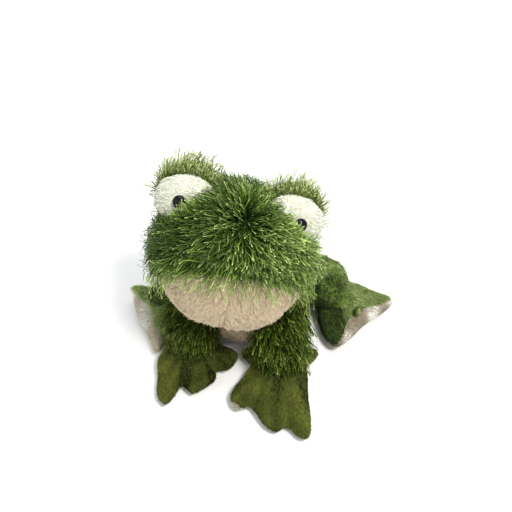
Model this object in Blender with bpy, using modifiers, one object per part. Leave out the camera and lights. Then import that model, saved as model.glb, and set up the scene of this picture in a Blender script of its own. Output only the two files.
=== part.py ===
"""Plush frog, sitting, built as sewn skins over stuffing with plastic eyes.

The frog faces -Y, its own left is +X, the floor is z = 0 and the origin is the
middle of the flat seat. Lengths below are in millimetres and angles in degrees.
"""
import math

import bmesh
import bpy
import numpy as np
from mathutils import Matrix, Vector

MM = 0.001

# ---------------------------------------------------------------- dimensions
SKIN = 1.5            # fabric backing with its pressed pile
GAP = 0.35            # space kept between touching pieces

HEAD_AT = (-1.5, -33.5, 99.0)
HEAD_R = (55.8, 59.5, 52.5)
HEAD_YAW, HEAD_ROLL, HEAD_PITCH = 8.0, 11.0, -25.0
MOUTH_POINT = (0.0, -56.0, 12.0)      # head frame
MOUTH_TILT = 31.0                     # mouth plane falls towards the neck
MOUTH_ROLL = 4.0

EYE_AT = {"l": (35.0, -10.0, 43.0), "r": (-40.5, -10.0, 43.0)}    # head frame
EYE_R = 21.5
EYE_SPLIT = 28.0                      # hood and front panel meet on this plane
PUPIL_OUT, PUPIL_UP = 11.0, 4.0
BEAD_R, BEAD_H = 4.9, 3.4
STEM_R, STEM_LEN = 1.5, 7.5
WASHER_R, WASHER_T = 5.6, 1.2

NECK_AT = (0.0, -10.0, 54.0)
NECK_R = 31.0
NECK_PLAY = 2.6

SHOULDER = {"l": (37.0, -26.0, 34.0), "r": (-37.0, -26.0, 34.0)}
WRIST = {"l": (44.0, -68.0, 25.0), "r": (-30.0, -66.0, 25.0)}
ARM_R = 14.0
HAND_HALF = 7.5
PALM = {"l": (44.0, -72.0), "r": (-28.0, -72.0)}

HIP = {"l": (39.0, 14.0, 18.0), "r": (-39.0, 14.0, 18.0)}
KNEE = {"l": (69.0, 36.0, 18.5), "r": (-66.0, 11.0, 18.5)}
ANKLE = {"l": (74.0, 12.0, 17.5), "r": (-60.0, -14.0, 16.5)}
LEG_R = 15.0
ANKLE_R = 14.0
FOOT_HALF = 8.5
FOOT_MID = {"l": (91.0, -2.0), "r": (-73.0, -31.0)}
FOOT_DIR = {"l": (0.82, -0.57), "r": (-0.80, -0.60)}
CURL = {"l": ((0.82, -0.57), 14.0, 0.008), "r": ((-0.98, -0.20), 4.0, 0.006)}   # direction, start, gain

# outlines of the hands and feet seen from above, going round once
HAND_OUTLINE = {
    "l": [(17, -106), (12, -101), (11, -94), (14, -83), (17, -72), (18, -63),
          (11, -57), (12, -50), (24, -47), (42, -46), (58, -42), (68, -38),
          (71, -45), (65, -55), (67, -68), (71, -88), (74, -104), (74, -117),
          (67, -117), (58, -111), (50, -117), (40, -113), (31, -104), (25, -102)],
    "r": [(-39, -111), (-46, -106), (-51, -93), (-55, -78), (-53, -67), (-46, -58),
          (-30, -53), (-10, -52), (2, -54), (6, -60), (2, -70), (-6, -74),
          (-7, -85), (-8, -96), (-13, -103), (-21, -101), (-29, -96), (-34, -106)],
}
FOOT_OUTLINE = {
    "l": [(127, 21), (127, 14), (121, 7), (115, 0), (110, -7), (104, -14),
          (98, -23), (92, -32), (86, -37), (79, -32), (72, -21), (67, -8),
          (66, 6), (77, 20), (92, 24), (107, 26), (120, 26)],
    "r": [(-98, -12), (-96, -19), (-89, -29), (-82, -39), (-75, -48), (-69, -57),
          (-64, -66), (-59, -66), (-57, -58), (-55, -44), (-54, -30), (-55, -18),
          (-62, -8), (-75, -5), (-89, -6)],
}


# -------------------------------------------------------------------- helpers
def clear_scene():
    for ob in list(bpy.data.objects):
        bpy.data.objects.remove(ob, do_unlink=True)
    for block in (bpy.data.meshes, bpy.data.materials, bpy.data.curves):
        for item in list(block):
            if item.users == 0:
                block.remove(item)


clear_scene()
FROG = bpy.data.collections.new("plush_frog")
CUTS = bpy.data.collections.new("cutters")
for col in (FROG, CUTS):
    bpy.context.scene.collection.children.link(col)


def material(name, colour, rough, sheen=0.0):
    mat = bpy.data.materials.new(name)
    mat.use_nodes = True
    bsdf = mat.node_tree.nodes["Principled BSDF"]
    bsdf.inputs["Base Color"].default_value = (*colour, 1.0)
    bsdf.inputs["Roughness"].default_value = rough
    bsdf.inputs["Metallic"].default_value = 0.0
    bsdf.inputs["Sheen Weight"].default_value = sheen
    mat.diffuse_color = (*colour, 1.0)
    return mat


COLOURS = {
    "shag": ((0.085, 0.16, 0.03), 0.55, 0.4),
    "pile": ((0.11, 0.16, 0.035), 0.85, 0.5),
    "beige": ((0.72, 0.60, 0.45), 0.9, 0.4),
    "ivory": ((0.80, 0.78, 0.68), 0.9, 0.4),
    "fibre": ((0.85, 0.85, 0.84), 1.0, 0.2),
    "bag": ((0.75, 0.73, 0.68), 0.9, 0.1),
    "black": ((0.006, 0.006, 0.007), 0.12, 0.0),
    "washer": ((0.8, 0.8, 0.78), 0.45, 0.0),
    "thread": ((0.05, 0.10, 0.02), 0.8, 0.0),
}


def new_object(name, bm, mat=None, cutter=False):
    mesh = bpy.data.meshes.new(name)
    if bm.calc_volume(signed=True) < 0:
        bmesh.ops.reverse_faces(bm, faces=bm.faces[:])
    bm.to_mesh(mesh)
    bm.free()
    ob = bpy.data.objects.new(name, mesh)
    if cutter:
        CUTS.objects.link(ob)
        ob.display_type = "WIRE"
        ob.hide_render = True
    else:
        FROG.objects.link(ob)
        mesh.materials.append(material(name + "_mat", *COLOURS[mat]))
        for poly in mesh.polygons:
            poly.use_smooth = True
    return ob


def boolean(ob, cutter, op="DIFFERENCE"):
    mod = ob.modifiers.new(cutter.name, "BOOLEAN")
    mod.operation = op
    mod.object = cutter
    mod.solver = "EXACT"
    return mod


def cut(ob, *cutters):
    for c in cutters:
        boolean(ob, c)
    return ob


def ball(name, shape, segs=24, rings=14, mat=None, cutter=False, matrix=None):
    """Closed surface: shape() takes a unit direction and gives a point in mm."""
    bm = bmesh.new()
    bmesh.ops.create_uvsphere(bm, u_segments=segs, v_segments=rings, radius=1.0)
    for v in bm.verts:
        v.co = Vector(shape(v.co.normalized())) * MM
    ob = new_object(name, bm, mat, cutter)
    if matrix is not None:
        ob.matrix_world = matrix
    return ob


def sphere_cutter(name, at, radius, segs=14, rings=8):
    ob = ball(name, lambda d: d * radius, segs, rings, cutter=True)
    ob.location = Vector(at) * MM
    return ob


def block_cutter(name, normal, point, size=400.0, matrix=None):
    """Half space: a cube that lies on the side the normal points to."""
    bm = bmesh.new()
    bmesh.ops.create_cube(bm, size=size * MM)
    turn = Vector((0, 0, 1)).rotation_difference(Vector(normal).normalized()).to_matrix().to_4x4()
    shift = Matrix.Translation((Vector(point) + Vector(normal).normalized() * size / 2) * MM)
    bmesh.ops.transform(bm, matrix=shift @ turn, verts=bm.verts[:])
    ob = new_object(name, bm, cutter=True)
    if matrix is not None:
        ob.matrix_world = matrix
    return ob


def half_shell(name, outer, inner, upper, segs, rings, mat):
    """One half of a sewn skin: outer and inner surface joined at the seam."""
    bm = bmesh.new()
    for surf, flip in ((outer, False), (inner, True)):
        made = bmesh.ops.create_uvsphere(bm, u_segments=segs, v_segments=rings, radius=1.0)["verts"]
        drop = [v for v in made if (v.co.z < -1e-4 if upper else v.co.z > 1e-4)]
        keep = [v for v in made if not (v.co.z < -1e-4 if upper else v.co.z > 1e-4)]
        bmesh.ops.delete(bm, geom=drop, context="VERTS")
        if flip:
            faces = {f for v in keep for f in v.link_faces}
            bmesh.ops.reverse_faces(bm, faces=list(faces))
        for v in keep:
            v.co = Vector(surf(v.co.normalized())) * MM
    edges = [e for e in bm.edges if e.is_boundary]
    bmesh.ops.bridge_loops(bm, edges=edges)
    lift = 0.5 * GAP * MM * (1.0 if upper else -1.0)
    bmesh.ops.translate(bm, vec=(0, 0, lift), verts=bm.verts[:])
    return new_object(name, bm, mat)


def capsule_points(a, b, ra, rb):
    """Surface of a sausage from a to b; the unit direction picks the point."""
    a, b = Vector(a), Vector(b)
    axis = (b - a).normalized()
    side = axis.cross(Vector((0, 0, 1)))
    if side.length < 1e-3:
        side = axis.cross(Vector((0, 1, 0)))
    side.normalize()
    other = axis.cross(side)
    length = (b - a).length

    def shape(d):
        t = math.acos(max(-1.0, min(1.0, d.z)))          # 0 at end b, pi at end a
        ring = math.hypot(d.x, d.y)
        u, w = (d.x / ring, d.y / ring) if ring > 1e-9 else (0.0, 0.0)
        cap = 0.30 * math.pi                              # share of the turn in each cap
        if t < cap:
            phi = t / cap * math.pi / 2
            along, rad = length + rb * math.cos(phi), rb * math.sin(phi)
        elif t > math.pi - cap:
            phi = (math.pi - t) / cap * math.pi / 2
            along, rad = -ra * math.cos(phi), ra * math.sin(phi)
        else:
            k = (t - cap) / (math.pi - 2 * cap)
            along, rad = length * (1 - k), rb + (ra - rb) * k
        return a + axis * along + (side * u + other * w) * rad
    return shape


def outline_radius(points, centre):
    """Smooth closed line through the points, as a radius for each angle."""
    pts = np.array(points, float) - np.array(centre, float)
    count = len(pts)
    fine = []
    for i in range(count):
        p0, p1, p2, p3 = (pts[(i + k) % count] for k in (-1, 0, 1, 2))
        for s in np.linspace(0, 1, 12, endpoint=False):
            fine.append(0.5 * ((2 * p1) + (p2 - p0) * s + (2 * p0 - 5 * p1 + 4 * p2 - p3) * s * s
                               + (3 * p1 - p0 - 3 * p2 + p3) * s ** 3))
    fine = np.array(fine)
    ang = np.arctan2(fine[:, 1], fine[:, 0])
    rad = np.hypot(fine[:, 0], fine[:, 1])
    order = np.argsort(ang)
    ang, rad = ang[order], rad[order]
    ang = np.concatenate([ang - 2 * np.pi, ang, ang + 2 * np.pi])
    rad = np.concatenate([rad, rad, rad])
    return lambda a: float(np.interp(a, ang, rad))


def power(x, e):
    return math.copysign(abs(x) ** e, x)


def pillow(radius, centre, half, lift, inset, full=0.77):
    """Stuffed flat form over an outline; inset moves every side inwards."""
    def shape(d):
        ring = math.hypot(d.x, d.y)
        a = math.atan2(d.y, d.x) if ring > 1e-9 else 0.0
        r = (radius(a) - inset) * power(ring, full)
        x, y = centre[0] + r * math.cos(a), centre[1] + r * math.sin(a)
        z = half + (half - inset) * power(d.z, full) + lift(x, y)
        return (x, y, z)
    return shape


def flat(x, y):
    return 0.0


def pivot(name, at):
    ob = bpy.data.objects.new(name, None)
    ob.empty_display_size = 0.01
    ob.location = Vector(at) * MM
    FROG.objects.link(ob)
    return ob


def hang(ob, empty):
    bpy.context.view_layer.update()
    world = ob.matrix_world.copy()
    ob.parent = empty
    ob.matrix_parent_inverse = empty.matrix_world.inverted()
    ob.matrix_world = world
    return ob


# --------------------------------------------------------------- joint pivots
PIV = {"neck": pivot("pivot_neck", NECK_AT)}
PIV["head"] = pivot("pivot_head", NECK_AT)
for s in "lr":
    PIV["arm_" + s] = pivot("pivot_shoulder_" + s, SHOULDER[s])
    PIV["hand_" + s] = pivot("pivot_wrist_" + s, WRIST[s])
    PIV["leg_" + s] = pivot("pivot_hip_" + s, HIP[s])
    PIV["foot_" + s] = pivot("pivot_ankle_" + s, ANKLE[s])
hang(PIV["head"], PIV["neck"])
for s in "lr":
    hang(PIV["hand_" + s], PIV["arm_" + s])
    hang(PIV["foot_" + s], PIV["leg_" + s])


# ----------------------------------------------------------------------- head
def head_matrix():
    turn = (Matrix.Rotation(math.radians(HEAD_YAW), 4, "Z")
            @ Matrix.Rotation(math.radians(HEAD_ROLL), 4, "Y")
            @ Matrix.Rotation(math.radians(HEAD_PITCH), 4, "X"))
    return Matrix.Translation(Vector(HEAD_AT) * MM) @ turn


HEAD_M = head_matrix()
HEAD_INV = HEAD_M.inverted()


def head_shape(inset):
    """Broad round head: an ellipsoid with a slightly squared plan."""
    def shape(d):
        k = 1.0 / (abs(d.x) ** 2.2 + abs(d.y) ** 2.2 + abs(d.z) ** 2.2) ** (1 / 2.2)
        return ((HEAD_R[0] - inset) * d.x * k, (HEAD_R[1] - inset) * d.y * k,
                (HEAD_R[2] - inset) * d.z * k)
    return shape


mouth_up = Vector((0, math.sin(math.radians(MOUTH_TILT)), math.cos(math.radians(MOUTH_TILT))))
mouth_up.rotate(Matrix.Rotation(math.radians(-MOUTH_ROLL), 3, "Y"))
mouth_at = Vector(MOUTH_POINT)
cut_inner_head = ball("cut_inner_head", head_shape(SKIN), 20, 12, cutter=True, matrix=HEAD_M)
cut_neck = sphere_cutter("cut_neck", NECK_AT, NECK_R + NECK_PLAY, 20, 12)
cut_above_mouth = block_cutter("cut_above_mouth", mouth_up, mouth_at - mouth_up * GAP / 2, matrix=HEAD_M)
cut_below_mouth = block_cutter("cut_below_mouth", -mouth_up, mouth_at + mouth_up * GAP / 2, matrix=HEAD_M)
cut_right_side = block_cutter("cut_right_side", (-1, 0, 0), (GAP / 2, 0, 0), matrix=HEAD_M)
cut_left_side = block_cutter("cut_left_side", (1, 0, 0), (-GAP / 2, 0, 0), matrix=HEAD_M)
for s, side_cut in (("l", cut_right_side), ("r", cut_left_side)):
    for name, mouth_cut, mat in (("head_top_", cut_below_mouth, "shag"), ("chin_", cut_above_mouth, "beige")):
        ob = ball(name + s, head_shape(0.0), 20, 12, mat=mat, matrix=HEAD_M)
        cut(ob, cut_inner_head, mouth_cut, side_cut, cut_neck)
        hang(ob, PIV["head"])
stuff = ball("head_stuffing", head_shape(SKIN + GAP), 20, 12, mat="fibre", matrix=HEAD_M)
hang(cut(stuff, cut_neck), PIV["head"])

# eye bulges: a green hood behind, an ivory panel in front, stuffing inside
cut_head_skin = ball("cut_head_skin", head_shape(-GAP), 20, 12, cutter=True, matrix=HEAD_M)
split = math.radians(EYE_SPLIT)
eye_front = Vector((0, -math.cos(split), -math.sin(split)))
for s, sign in (("l", 1.0), ("r", -1.0)):
    centre = Vector(EYE_AT[s])
    place = HEAD_M @ Matrix.Translation(centre * MM)
    out, up = math.radians(PUPIL_OUT), math.radians(PUPIL_UP)
    look = Vector((sign * math.sin(out) * math.cos(up), -math.cos(out) * math.cos(up), math.sin(up)))
    aim = place @ Vector((0, 0, 1)).rotation_difference(look).to_matrix().to_4x4()
    hollow = ball("cut_eye_hollow_" + s, lambda d: d * (EYE_R - SKIN), 16, 10, cutter=True, matrix=place)
    front = block_cutter("cut_eye_front_" + s, eye_front, -eye_front * GAP / 2, 120, matrix=place)
    back = block_cutter("cut_eye_back_" + s, -eye_front, eye_front * GAP / 2, 120, matrix=place)

    def rod(name, radius, low, high, cutter=True, matrix=aim):
        bm = bmesh.new()
        bmesh.ops.create_cone(bm, cap_ends=True, segments=12, radius1=radius * MM, radius2=radius * MM,
                              depth=(high - low) * MM)
        bmesh.ops.translate(bm, vec=(0, 0, (high + low) / 2 * MM), verts=bm.verts[:])
        ob = new_object(name, bm, cutter=cutter)
        ob.matrix_world = matrix
        return ob

    stem_hole = rod("cut_stem_hole_" + s, STEM_R + 0.4, 5.0, EYE_R + 4.0)
    pocket = rod("cut_washer_pocket_" + s, WASHER_R + 0.6, EYE_R - STEM_LEN - 2.0, EYE_R + 2.0)
    hood = ball("eye_hood_" + s, lambda d: d * EYE_R, 16, 10, mat="shag", matrix=place)
    hang(cut(hood, hollow, front, cut_head_skin), PIV["head"])
    white = ball("eye_white_" + s, lambda d: d * EYE_R, 16, 10, mat="ivory", matrix=place)
    hang(cut(white, hollow, back, cut_head_skin, stem_hole), PIV["head"])
    fill = ball("eye_stuffing_" + s, lambda d: d * (EYE_R - SKIN - GAP), 16, 10, mat="fibre", matrix=place)
    hang(cut(fill, cut_head_skin, pocket), PIV["head"])

    def turned(name, profile, mat, steps=12, matrix=aim):
        """Profile (radius, height) turned about the local Z axis."""
        bm = bmesh.new()
        verts = [bm.verts.new((r * MM, 0, z * MM)) for r, z in profile]
        for a, b in zip(verts, verts[1:] + (verts[:1] if profile[0][0] > 0 else [])):
            bm.edges.new((a, b))
        mesh = bpy.data.meshes.new(name)
        bm.to_mesh(mesh)
        bm.free()
        ob = bpy.data.objects.new(name, mesh)
        FROG.objects.link(ob)
        mesh.materials.append(material(name + "_mat", *COLOURS[mat]))
        mod = ob.modifiers.new("turn", "SCREW")
        mod.axis = "Z"
        mod.steps = mod.render_steps = steps
        mod.use_merge_vertices = True
        mod.merge_threshold = 0.00001
        mod.use_smooth_shade = True
        ob.matrix_world = matrix
        return ob

    base = EYE_R + 0.45
    dome = [(BEAD_R * math.sin(a), base + BEAD_H * math.cos(a))
            for a in [math.radians(k) for k in (0, 25, 50, 72, 90)]]
    bead = [(0.0 if i == 0 else r, z) for i, (r, z) in enumerate(dome)]
    bead += [(STEM_R, base), (STEM_R, base - STEM_LEN), (0.0, base - STEM_LEN)]
    hang(turned("eye_bead_" + s, bead, "black"), PIV["head"])
    low = EYE_R - SKIN - 2.1 - WASHER_T
    ring = [(STEM_R + 0.25, low + WASHER_T), (WASHER_R, low + WASHER_T), (WASHER_R, low),
            (STEM_R + 0.25, low)]
    hang(turned("eye_washer_" + s, ring, "washer"), PIV["head"])


# ----------------------------------------------------------------------- body
def smooth(a, b, x):
    k = min(1.0, max(0.0, (x - a) / (b - a)))
    return k * k * (3 - 2 * k)


NECK_ANGLES = (20, 44, 68, 92, 112)
FLANK = [(36.5, 33.0), (42.3, 25.5), (44.0, 18.5), (43.0, 11.0), (40.0, 5.5), (36.5, 1.85)]


def section_at(z, inset):
    """Radius of the body below the neck, straight between the flank's points."""
    rs = [p[0] for p in FLANK][::-1]
    zs = [p[1] for p in FLANK][::-1]
    return float(np.interp(z, zs, rs)) - inset


def lean(z):
    return NECK_AT[1] * smooth(0.0, 40.0, z)


def body_path(low, high, inset):
    """Radii and heights from the top down to the bottom of a body solid."""
    path = []
    if high > NECK_AT[2]:
        rr = NECK_R - inset
        path = [(rr * math.sin(math.radians(a)), NECK_AT[2] + rr * math.cos(math.radians(a)))
                for a in NECK_ANGLES]
    else:
        path = [(section_at(high, inset), high)]
    path += [(r - inset, z) for r, z in FLANK if low + 0.5 < z < high - 0.5]
    return path + [(section_at(low, inset), low)]


def body_solid(name, low, high, inset, segs, mat=None, cutter=False):
    """Turned body part that leans forward: a round form with one ring a height."""
    path = body_path(low, high, inset)
    rings = len(path) + 1
    top = NECK_AT[2] + NECK_R - inset if high > NECK_AT[2] else high

    def shape(d):
        i = round(math.acos(max(-1.0, min(1.0, d.z))) / math.pi * rings)
        if i == 0:
            return (0.0, lean(top), top)
        if i == rings:
            return (0.0, lean(low), low)
        r, z = path[i - 1]
        a = math.atan2(d.y, d.x) + math.pi / segs      # keeps corners off the seam planes
        return (r * math.cos(a), lean(z) + r * math.sin(a), z)
    return ball(name, shape, segs, rings, mat, cutter)


SEAT = 1.85
BAG_TOP = 19.0
NECK_OPEN = 70.0

cut_body_inner = body_solid("cut_body_inner", SEAT - 2.0, 85.0, SKIN, 24, cutter=True)
cut_over_neck = block_cutter("cut_over_neck", (0, 0, 1), (0, 0, NECK_OPEN))
cut_x_neg = block_cutter("cut_x_neg", (-1, 0, 0), (GAP / 2, 0, 0))
cut_x_pos = block_cutter("cut_x_pos", (1, 0, 0), (-GAP / 2, 0, 0))


def wedge(name, grow):
    """Upright prism that opens towards the belly, its edge inside the body."""
    bm = bmesh.new()
    bmesh.ops.create_cube(bm, size=200.0 * MM)
    bmesh.ops.rotate(bm, cent=(0, 0, 0), matrix=Matrix.Rotation(math.radians(45), 3, "Z"), verts=bm.verts[:])
    bmesh.ops.scale(bm, vec=(0.62, 1.0, 1.0), verts=bm.verts[:])
    reach = 200.0 * math.sqrt(0.5)
    bmesh.ops.translate(bm, vec=(0, (-reach + 6.0 + grow) * MM, 60.0 * MM), verts=bm.verts[:])
    return new_object(name, bm, cutter=True)


cut_belly_out = wedge("cut_belly_out", 0.6)
keep_belly = wedge("keep_belly", 0.0)
arm_holes = {s: ball("cut_arm_" + s, capsule_points(SHOULDER[s], WRIST[s], ARM_R + 1.3, ARM_R + 1.3), 14, 10, cutter=True)
             for s in "lr"}
leg_holes = {s: sphere_cutter("cut_leg_hole_" + s, HIP[s], LEG_R + 2.2) for s in "lr"}
limb_cuts = [arm_holes["l"], arm_holes["r"], leg_holes["l"], leg_holes["r"]]

belly = body_solid("belly_panel", SEAT, 85.0, 0.0, 24, "beige")
cut(belly, cut_body_inner, cut_over_neck)
boolean(belly, keep_belly, "INTERSECT")
cut(belly, *limb_cuts)
for s, other in (("l", cut_x_neg), ("r", cut_x_pos)):
    ob = body_solid("back_panel_" + s, SEAT, 85.0, 0.0, 24, "shag")
    cut(ob, other, cut_body_inner, cut_over_neck, cut_belly_out, arm_holes[s], leg_holes[s])

body_stuffing = body_solid("body_stuffing", BAG_TOP + GAP, 85.0, SKIN + GAP, 24, "fibre")
cut(body_stuffing, *limb_cuts)
bag = body_solid("seat_pellet_bag", SEAT, BAG_TOP, SKIN + GAP, 24, "bag")
cut(bag, leg_holes["l"], leg_holes["r"])

bm = bmesh.new()
bmesh.ops.create_cone(bm, cap_ends=True, segments=22, radius1=36.3 * MM, radius2=36.3 * MM, depth=1.5 * MM)
bmesh.ops.translate(bm, vec=(0, 0, 0.75 * MM), verts=bm.verts[:])
base_panel = new_object("base_panel", bm, "shag")

# thread of the neck seam, a ring between the body's neck and the head's opening
neck_dir = Vector((0.0, -0.30, 0.954)).normalized()
ring_off = 10.0
ring_r = math.sqrt((NECK_R + NECK_PLAY / 2) ** 2 - ring_off ** 2)
bpy.ops.mesh.primitive_torus_add(major_segments=24, minor_segments=5, major_radius=ring_r * MM, minor_radius=0.45 * MM)
thread = bpy.context.active_object
thread.name = thread.data.name = "neck_seam_thread"
for col in list(thread.users_collection):
    col.objects.unlink(thread)
FROG.objects.link(thread)
thread.data.materials.append(material("neck_seam_thread_mat", *COLOURS["thread"]))
thread.location = (Vector(NECK_AT) + neck_dir * ring_off) * MM
thread.rotation_mode = "QUATERNION"
thread.rotation_quaternion = Vector((0, 0, 1)).rotation_difference(neck_dir)
hang(thread, PIV["neck"])


# ------------------------------------------------------------------ the limbs
def open_tube(name, path_shape, segs, rings, keep_rings, mat):
    """Sleeve: the sausage surface without its two ends, thickened inwards."""
    bm = bmesh.new()
    bmesh.ops.create_uvsphere(bm, u_segments=segs, v_segments=rings, radius=1.0)
    top, bottom = keep_rings
    drop = [v for v in bm.verts if v.co.z > math.cos(top) or v.co.z < math.cos(bottom)]
    bmesh.ops.delete(bm, geom=drop, context="VERTS")
    for v in bm.verts:
        v.co = Vector(path_shape(v.co.normalized())) * MM
    ob = new_object(name, bm, mat)
    mod = ob.modifiers.new("thickness", "SOLIDIFY")
    mod.thickness = SKIN * MM
    mod.offset = -1.0
    mod.use_even_offset = True
    return ob


for s in "lr":
    arm_out = capsule_points(SHOULDER[s], WRIST[s], ARM_R, ARM_R)
    arm_in = capsule_points(SHOULDER[s], WRIST[s], ARM_R - SKIN - GAP - 0.15, ARM_R - SKIN - GAP - 0.15)
    sleeve = open_tube("arm_sleeve_" + s, arm_out, 14, 10, (0.13 * math.pi, 0.87 * math.pi), "shag")
    hang(sleeve, PIV["arm_" + s])
    hang(ball("arm_stuffing_" + s, arm_in, 14, 10, mat="fibre"), PIV["arm_" + s])

    # hand: a pillow with toes, dished where the arm comes down on it
    arm_clear = arm_holes[s]
    radius = outline_radius(HAND_OUTLINE[s], PALM[s])
    outer = pillow(radius, PALM[s], HAND_HALF, flat, 0.0)
    inner = pillow(radius, PALM[s], HAND_HALF, flat, SKIN)
    fill = pillow(radius, PALM[s], HAND_HALF, flat, SKIN + GAP)
    top = half_shell("hand_top_" + s, outer, inner, True, 30, 6, "pile")
    hang(cut(top, arm_clear), PIV["hand_" + s])
    hang(half_shell("hand_sole_" + s, outer, inner, False, 30, 6, "beige"), PIV["hand_" + s])
    hang(cut(ball("hand_stuffing_" + s, fill, 30, 6, mat="fibre"), arm_clear), PIV["hand_" + s])

    # leg: thigh and shin as one bent sausage, open at the hip and the ankle
    thigh = lambda r: capsule_points(HIP[s], KNEE[s], r, r)
    shin = lambda r, q: capsule_points(KNEE[s], ANKLE[s], r, q)
    hip_dir = (Vector(HIP[s]) - Vector(KNEE[s])).normalized()
    toe_dir = Vector((FOOT_DIR[s][0], FOOT_DIR[s][1], 0.0)).normalized()
    shin_out = ball("join_shin_" + s, shin(LEG_R - 0.3, ANKLE_R), 12, 8, cutter=True)
    thigh_in = ball("cut_thigh_" + s, thigh(LEG_R - SKIN), 12, 8, cutter=True)
    shin_in = ball("cut_shin_" + s, shin(LEG_R - SKIN - 0.2, ANKLE_R - SKIN), 12, 8, cutter=True)
    hip_end = block_cutter("cut_hip_end_" + s, hip_dir, Vector(HIP[s]) + hip_dir * 8.0, 60)
    toe_end = block_cutter("cut_toe_end_" + s, toe_dir, Vector(ANKLE[s]) + toe_dir * 8.0, 60)
    leg = ball("leg_skin_" + s, thigh(LEG_R), 12, 8, mat="pile")
    boolean(leg, shin_out, "UNION")
    cut(leg, thigh_in, shin_in, hip_end, toe_end)
    hang(leg, PIV["leg_" + s])
    less = SKIN + GAP + 0.15
    shin_fill = ball("join_shin_fill_" + s, shin(LEG_R - less - 0.2, ANKLE_R - less), 12, 8, cutter=True)
    leg_fill = ball("leg_stuffing_" + s, thigh(LEG_R - less), 12, 8, mat="fibre")
    boolean(leg_fill, shin_fill, "UNION")
    hang(leg_fill, PIV["leg_" + s])

    # foot: a fan with three toes that curl up at the front
    ankle = Vector(ANKLE[s])

    def curl(x, y, ankle=ankle, to=CURL[s][0], start=CURL[s][1], gain=CURL[s][2]):
        fwd = (x - ankle.x) * to[0] + (y - ankle.y) * to[1]
        side = -(x - ankle.x) * to[1] + (y - ankle.y) * to[0]
        k = max(0.0, fwd - start)
        return gain * k * k * (1.0 + 0.35 * math.exp(-(side / 12.0) ** 2))

    ankle_clear = sphere_cutter("cut_ankle_" + s, ANKLE[s], ANKLE_R + 0.9)
    shin_clear = ball("cut_shin_clear_" + s, shin(LEG_R + 1.2, ANKLE_R + 1.0), 12, 8, cutter=True)
    radius = outline_radius(FOOT_OUTLINE[s], FOOT_MID[s])
    outer = pillow(radius, FOOT_MID[s], FOOT_HALF, curl, 0.0)
    inner = pillow(radius, FOOT_MID[s], FOOT_HALF, curl, SKIN)
    fill = pillow(radius, FOOT_MID[s], FOOT_HALF, curl, SKIN + GAP)
    hang(cut(half_shell("foot_top_" + s, outer, inner, True, 28, 6, "pile"), ankle_clear, shin_clear), PIV["foot_" + s])
    hang(cut(half_shell("foot_sole_" + s, outer, inner, False, 28, 6, "beige"), ankle_clear, shin_clear), PIV["foot_" + s])
    hang(cut(ball("foot_stuffing_" + s, fill, 28, 6, mat="fibre"), ankle_clear, shin_clear), PIV["foot_" + s])

bpy.context.view_layer.update()
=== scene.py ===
"""Looks of the plush frog: sewn skins, shaggy and short pile, eyes, floor, light and camera.

Lengths in the helpers are millimetres in the model's frame: the frog faces -Y and
its own left is +X. Meshes are written in metres.
"""
import math

import bmesh
import bpy
import numpy as np
from mathutils import Matrix, Vector, kdtree


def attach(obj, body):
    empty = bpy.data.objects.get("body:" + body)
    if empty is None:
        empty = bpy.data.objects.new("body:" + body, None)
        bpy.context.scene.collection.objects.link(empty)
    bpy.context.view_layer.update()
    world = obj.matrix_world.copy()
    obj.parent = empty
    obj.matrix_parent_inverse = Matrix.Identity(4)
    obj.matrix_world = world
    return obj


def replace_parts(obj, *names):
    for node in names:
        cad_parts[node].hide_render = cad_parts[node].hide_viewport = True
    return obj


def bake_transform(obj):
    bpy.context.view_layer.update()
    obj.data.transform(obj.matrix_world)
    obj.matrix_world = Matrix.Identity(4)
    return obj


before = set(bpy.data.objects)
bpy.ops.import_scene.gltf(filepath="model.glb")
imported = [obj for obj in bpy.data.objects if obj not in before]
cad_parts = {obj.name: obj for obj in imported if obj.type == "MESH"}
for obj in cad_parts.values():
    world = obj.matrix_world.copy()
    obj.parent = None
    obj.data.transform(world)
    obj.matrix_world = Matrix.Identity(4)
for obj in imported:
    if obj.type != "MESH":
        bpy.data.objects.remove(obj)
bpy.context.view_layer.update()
MM = 0.001

# ------------------------------------------------------------ places, as built
HEAD_AT = np.array([-1.5, -33.5, 99.0])
HEAD_R = np.array([55.8, 59.5, 52.5])
HEAD_TURN = (Matrix.Rotation(math.radians(8), 3, "Z") @ Matrix.Rotation(math.radians(11), 3, "Y")
             @ Matrix.Rotation(math.radians(-25), 3, "X"))
HEAD_ROT = np.array(HEAD_TURN)
MOUTH_AT = np.array([0.0, -56.0, 12.0])
_up = Vector((0, math.sin(math.radians(31)), math.cos(math.radians(31))))
_up.rotate(Matrix.Rotation(math.radians(-4), 3, "Y"))
MOUTH_UP = np.array(_up)
EYE_AT = {"l": np.array([35.0, -10.0, 43.0]), "r": np.array([-40.5, -10.0, 43.0])}
EYE_R = 21.5
EYE_FRONT = np.array([0.0, -math.cos(math.radians(28)), -math.sin(math.radians(28))])
NECK_AT = np.array([0.0, -10.0, 54.0])
SHOULDER = {"l": np.array([37.0, -26.0, 34.0]), "r": np.array([-37.0, -26.0, 34.0])}
WRIST = {"l": np.array([44.0, -68.0, 25.0]), "r": np.array([-30.0, -66.0, 25.0])}
HIP = {"l": np.array([39.0, 14.0, 18.0]), "r": np.array([-39.0, 14.0, 18.0])}
KNEE = {"l": np.array([69.0, 36.0, 18.5]), "r": np.array([-66.0, 11.0, 18.5])}
ANKLE = {"l": np.array([74.0, 12.0, 17.5]), "r": np.array([-60.0, -14.0, 16.5])}
PALM = {"l": (44.0, -72.0), "r": (-28.0, -72.0)}
FOOT_MID = {"l": (87.0, 3.0), "r": (-70.0, -29.0)}
FOOT_DIR = {"l": (0.82, -0.57), "r": (-0.80, -0.60)}
CURL = {"l": ((0.82, -0.57), 14.0, 0.008), "r": ((-0.98, -0.20), 4.0, 0.006)}
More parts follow.
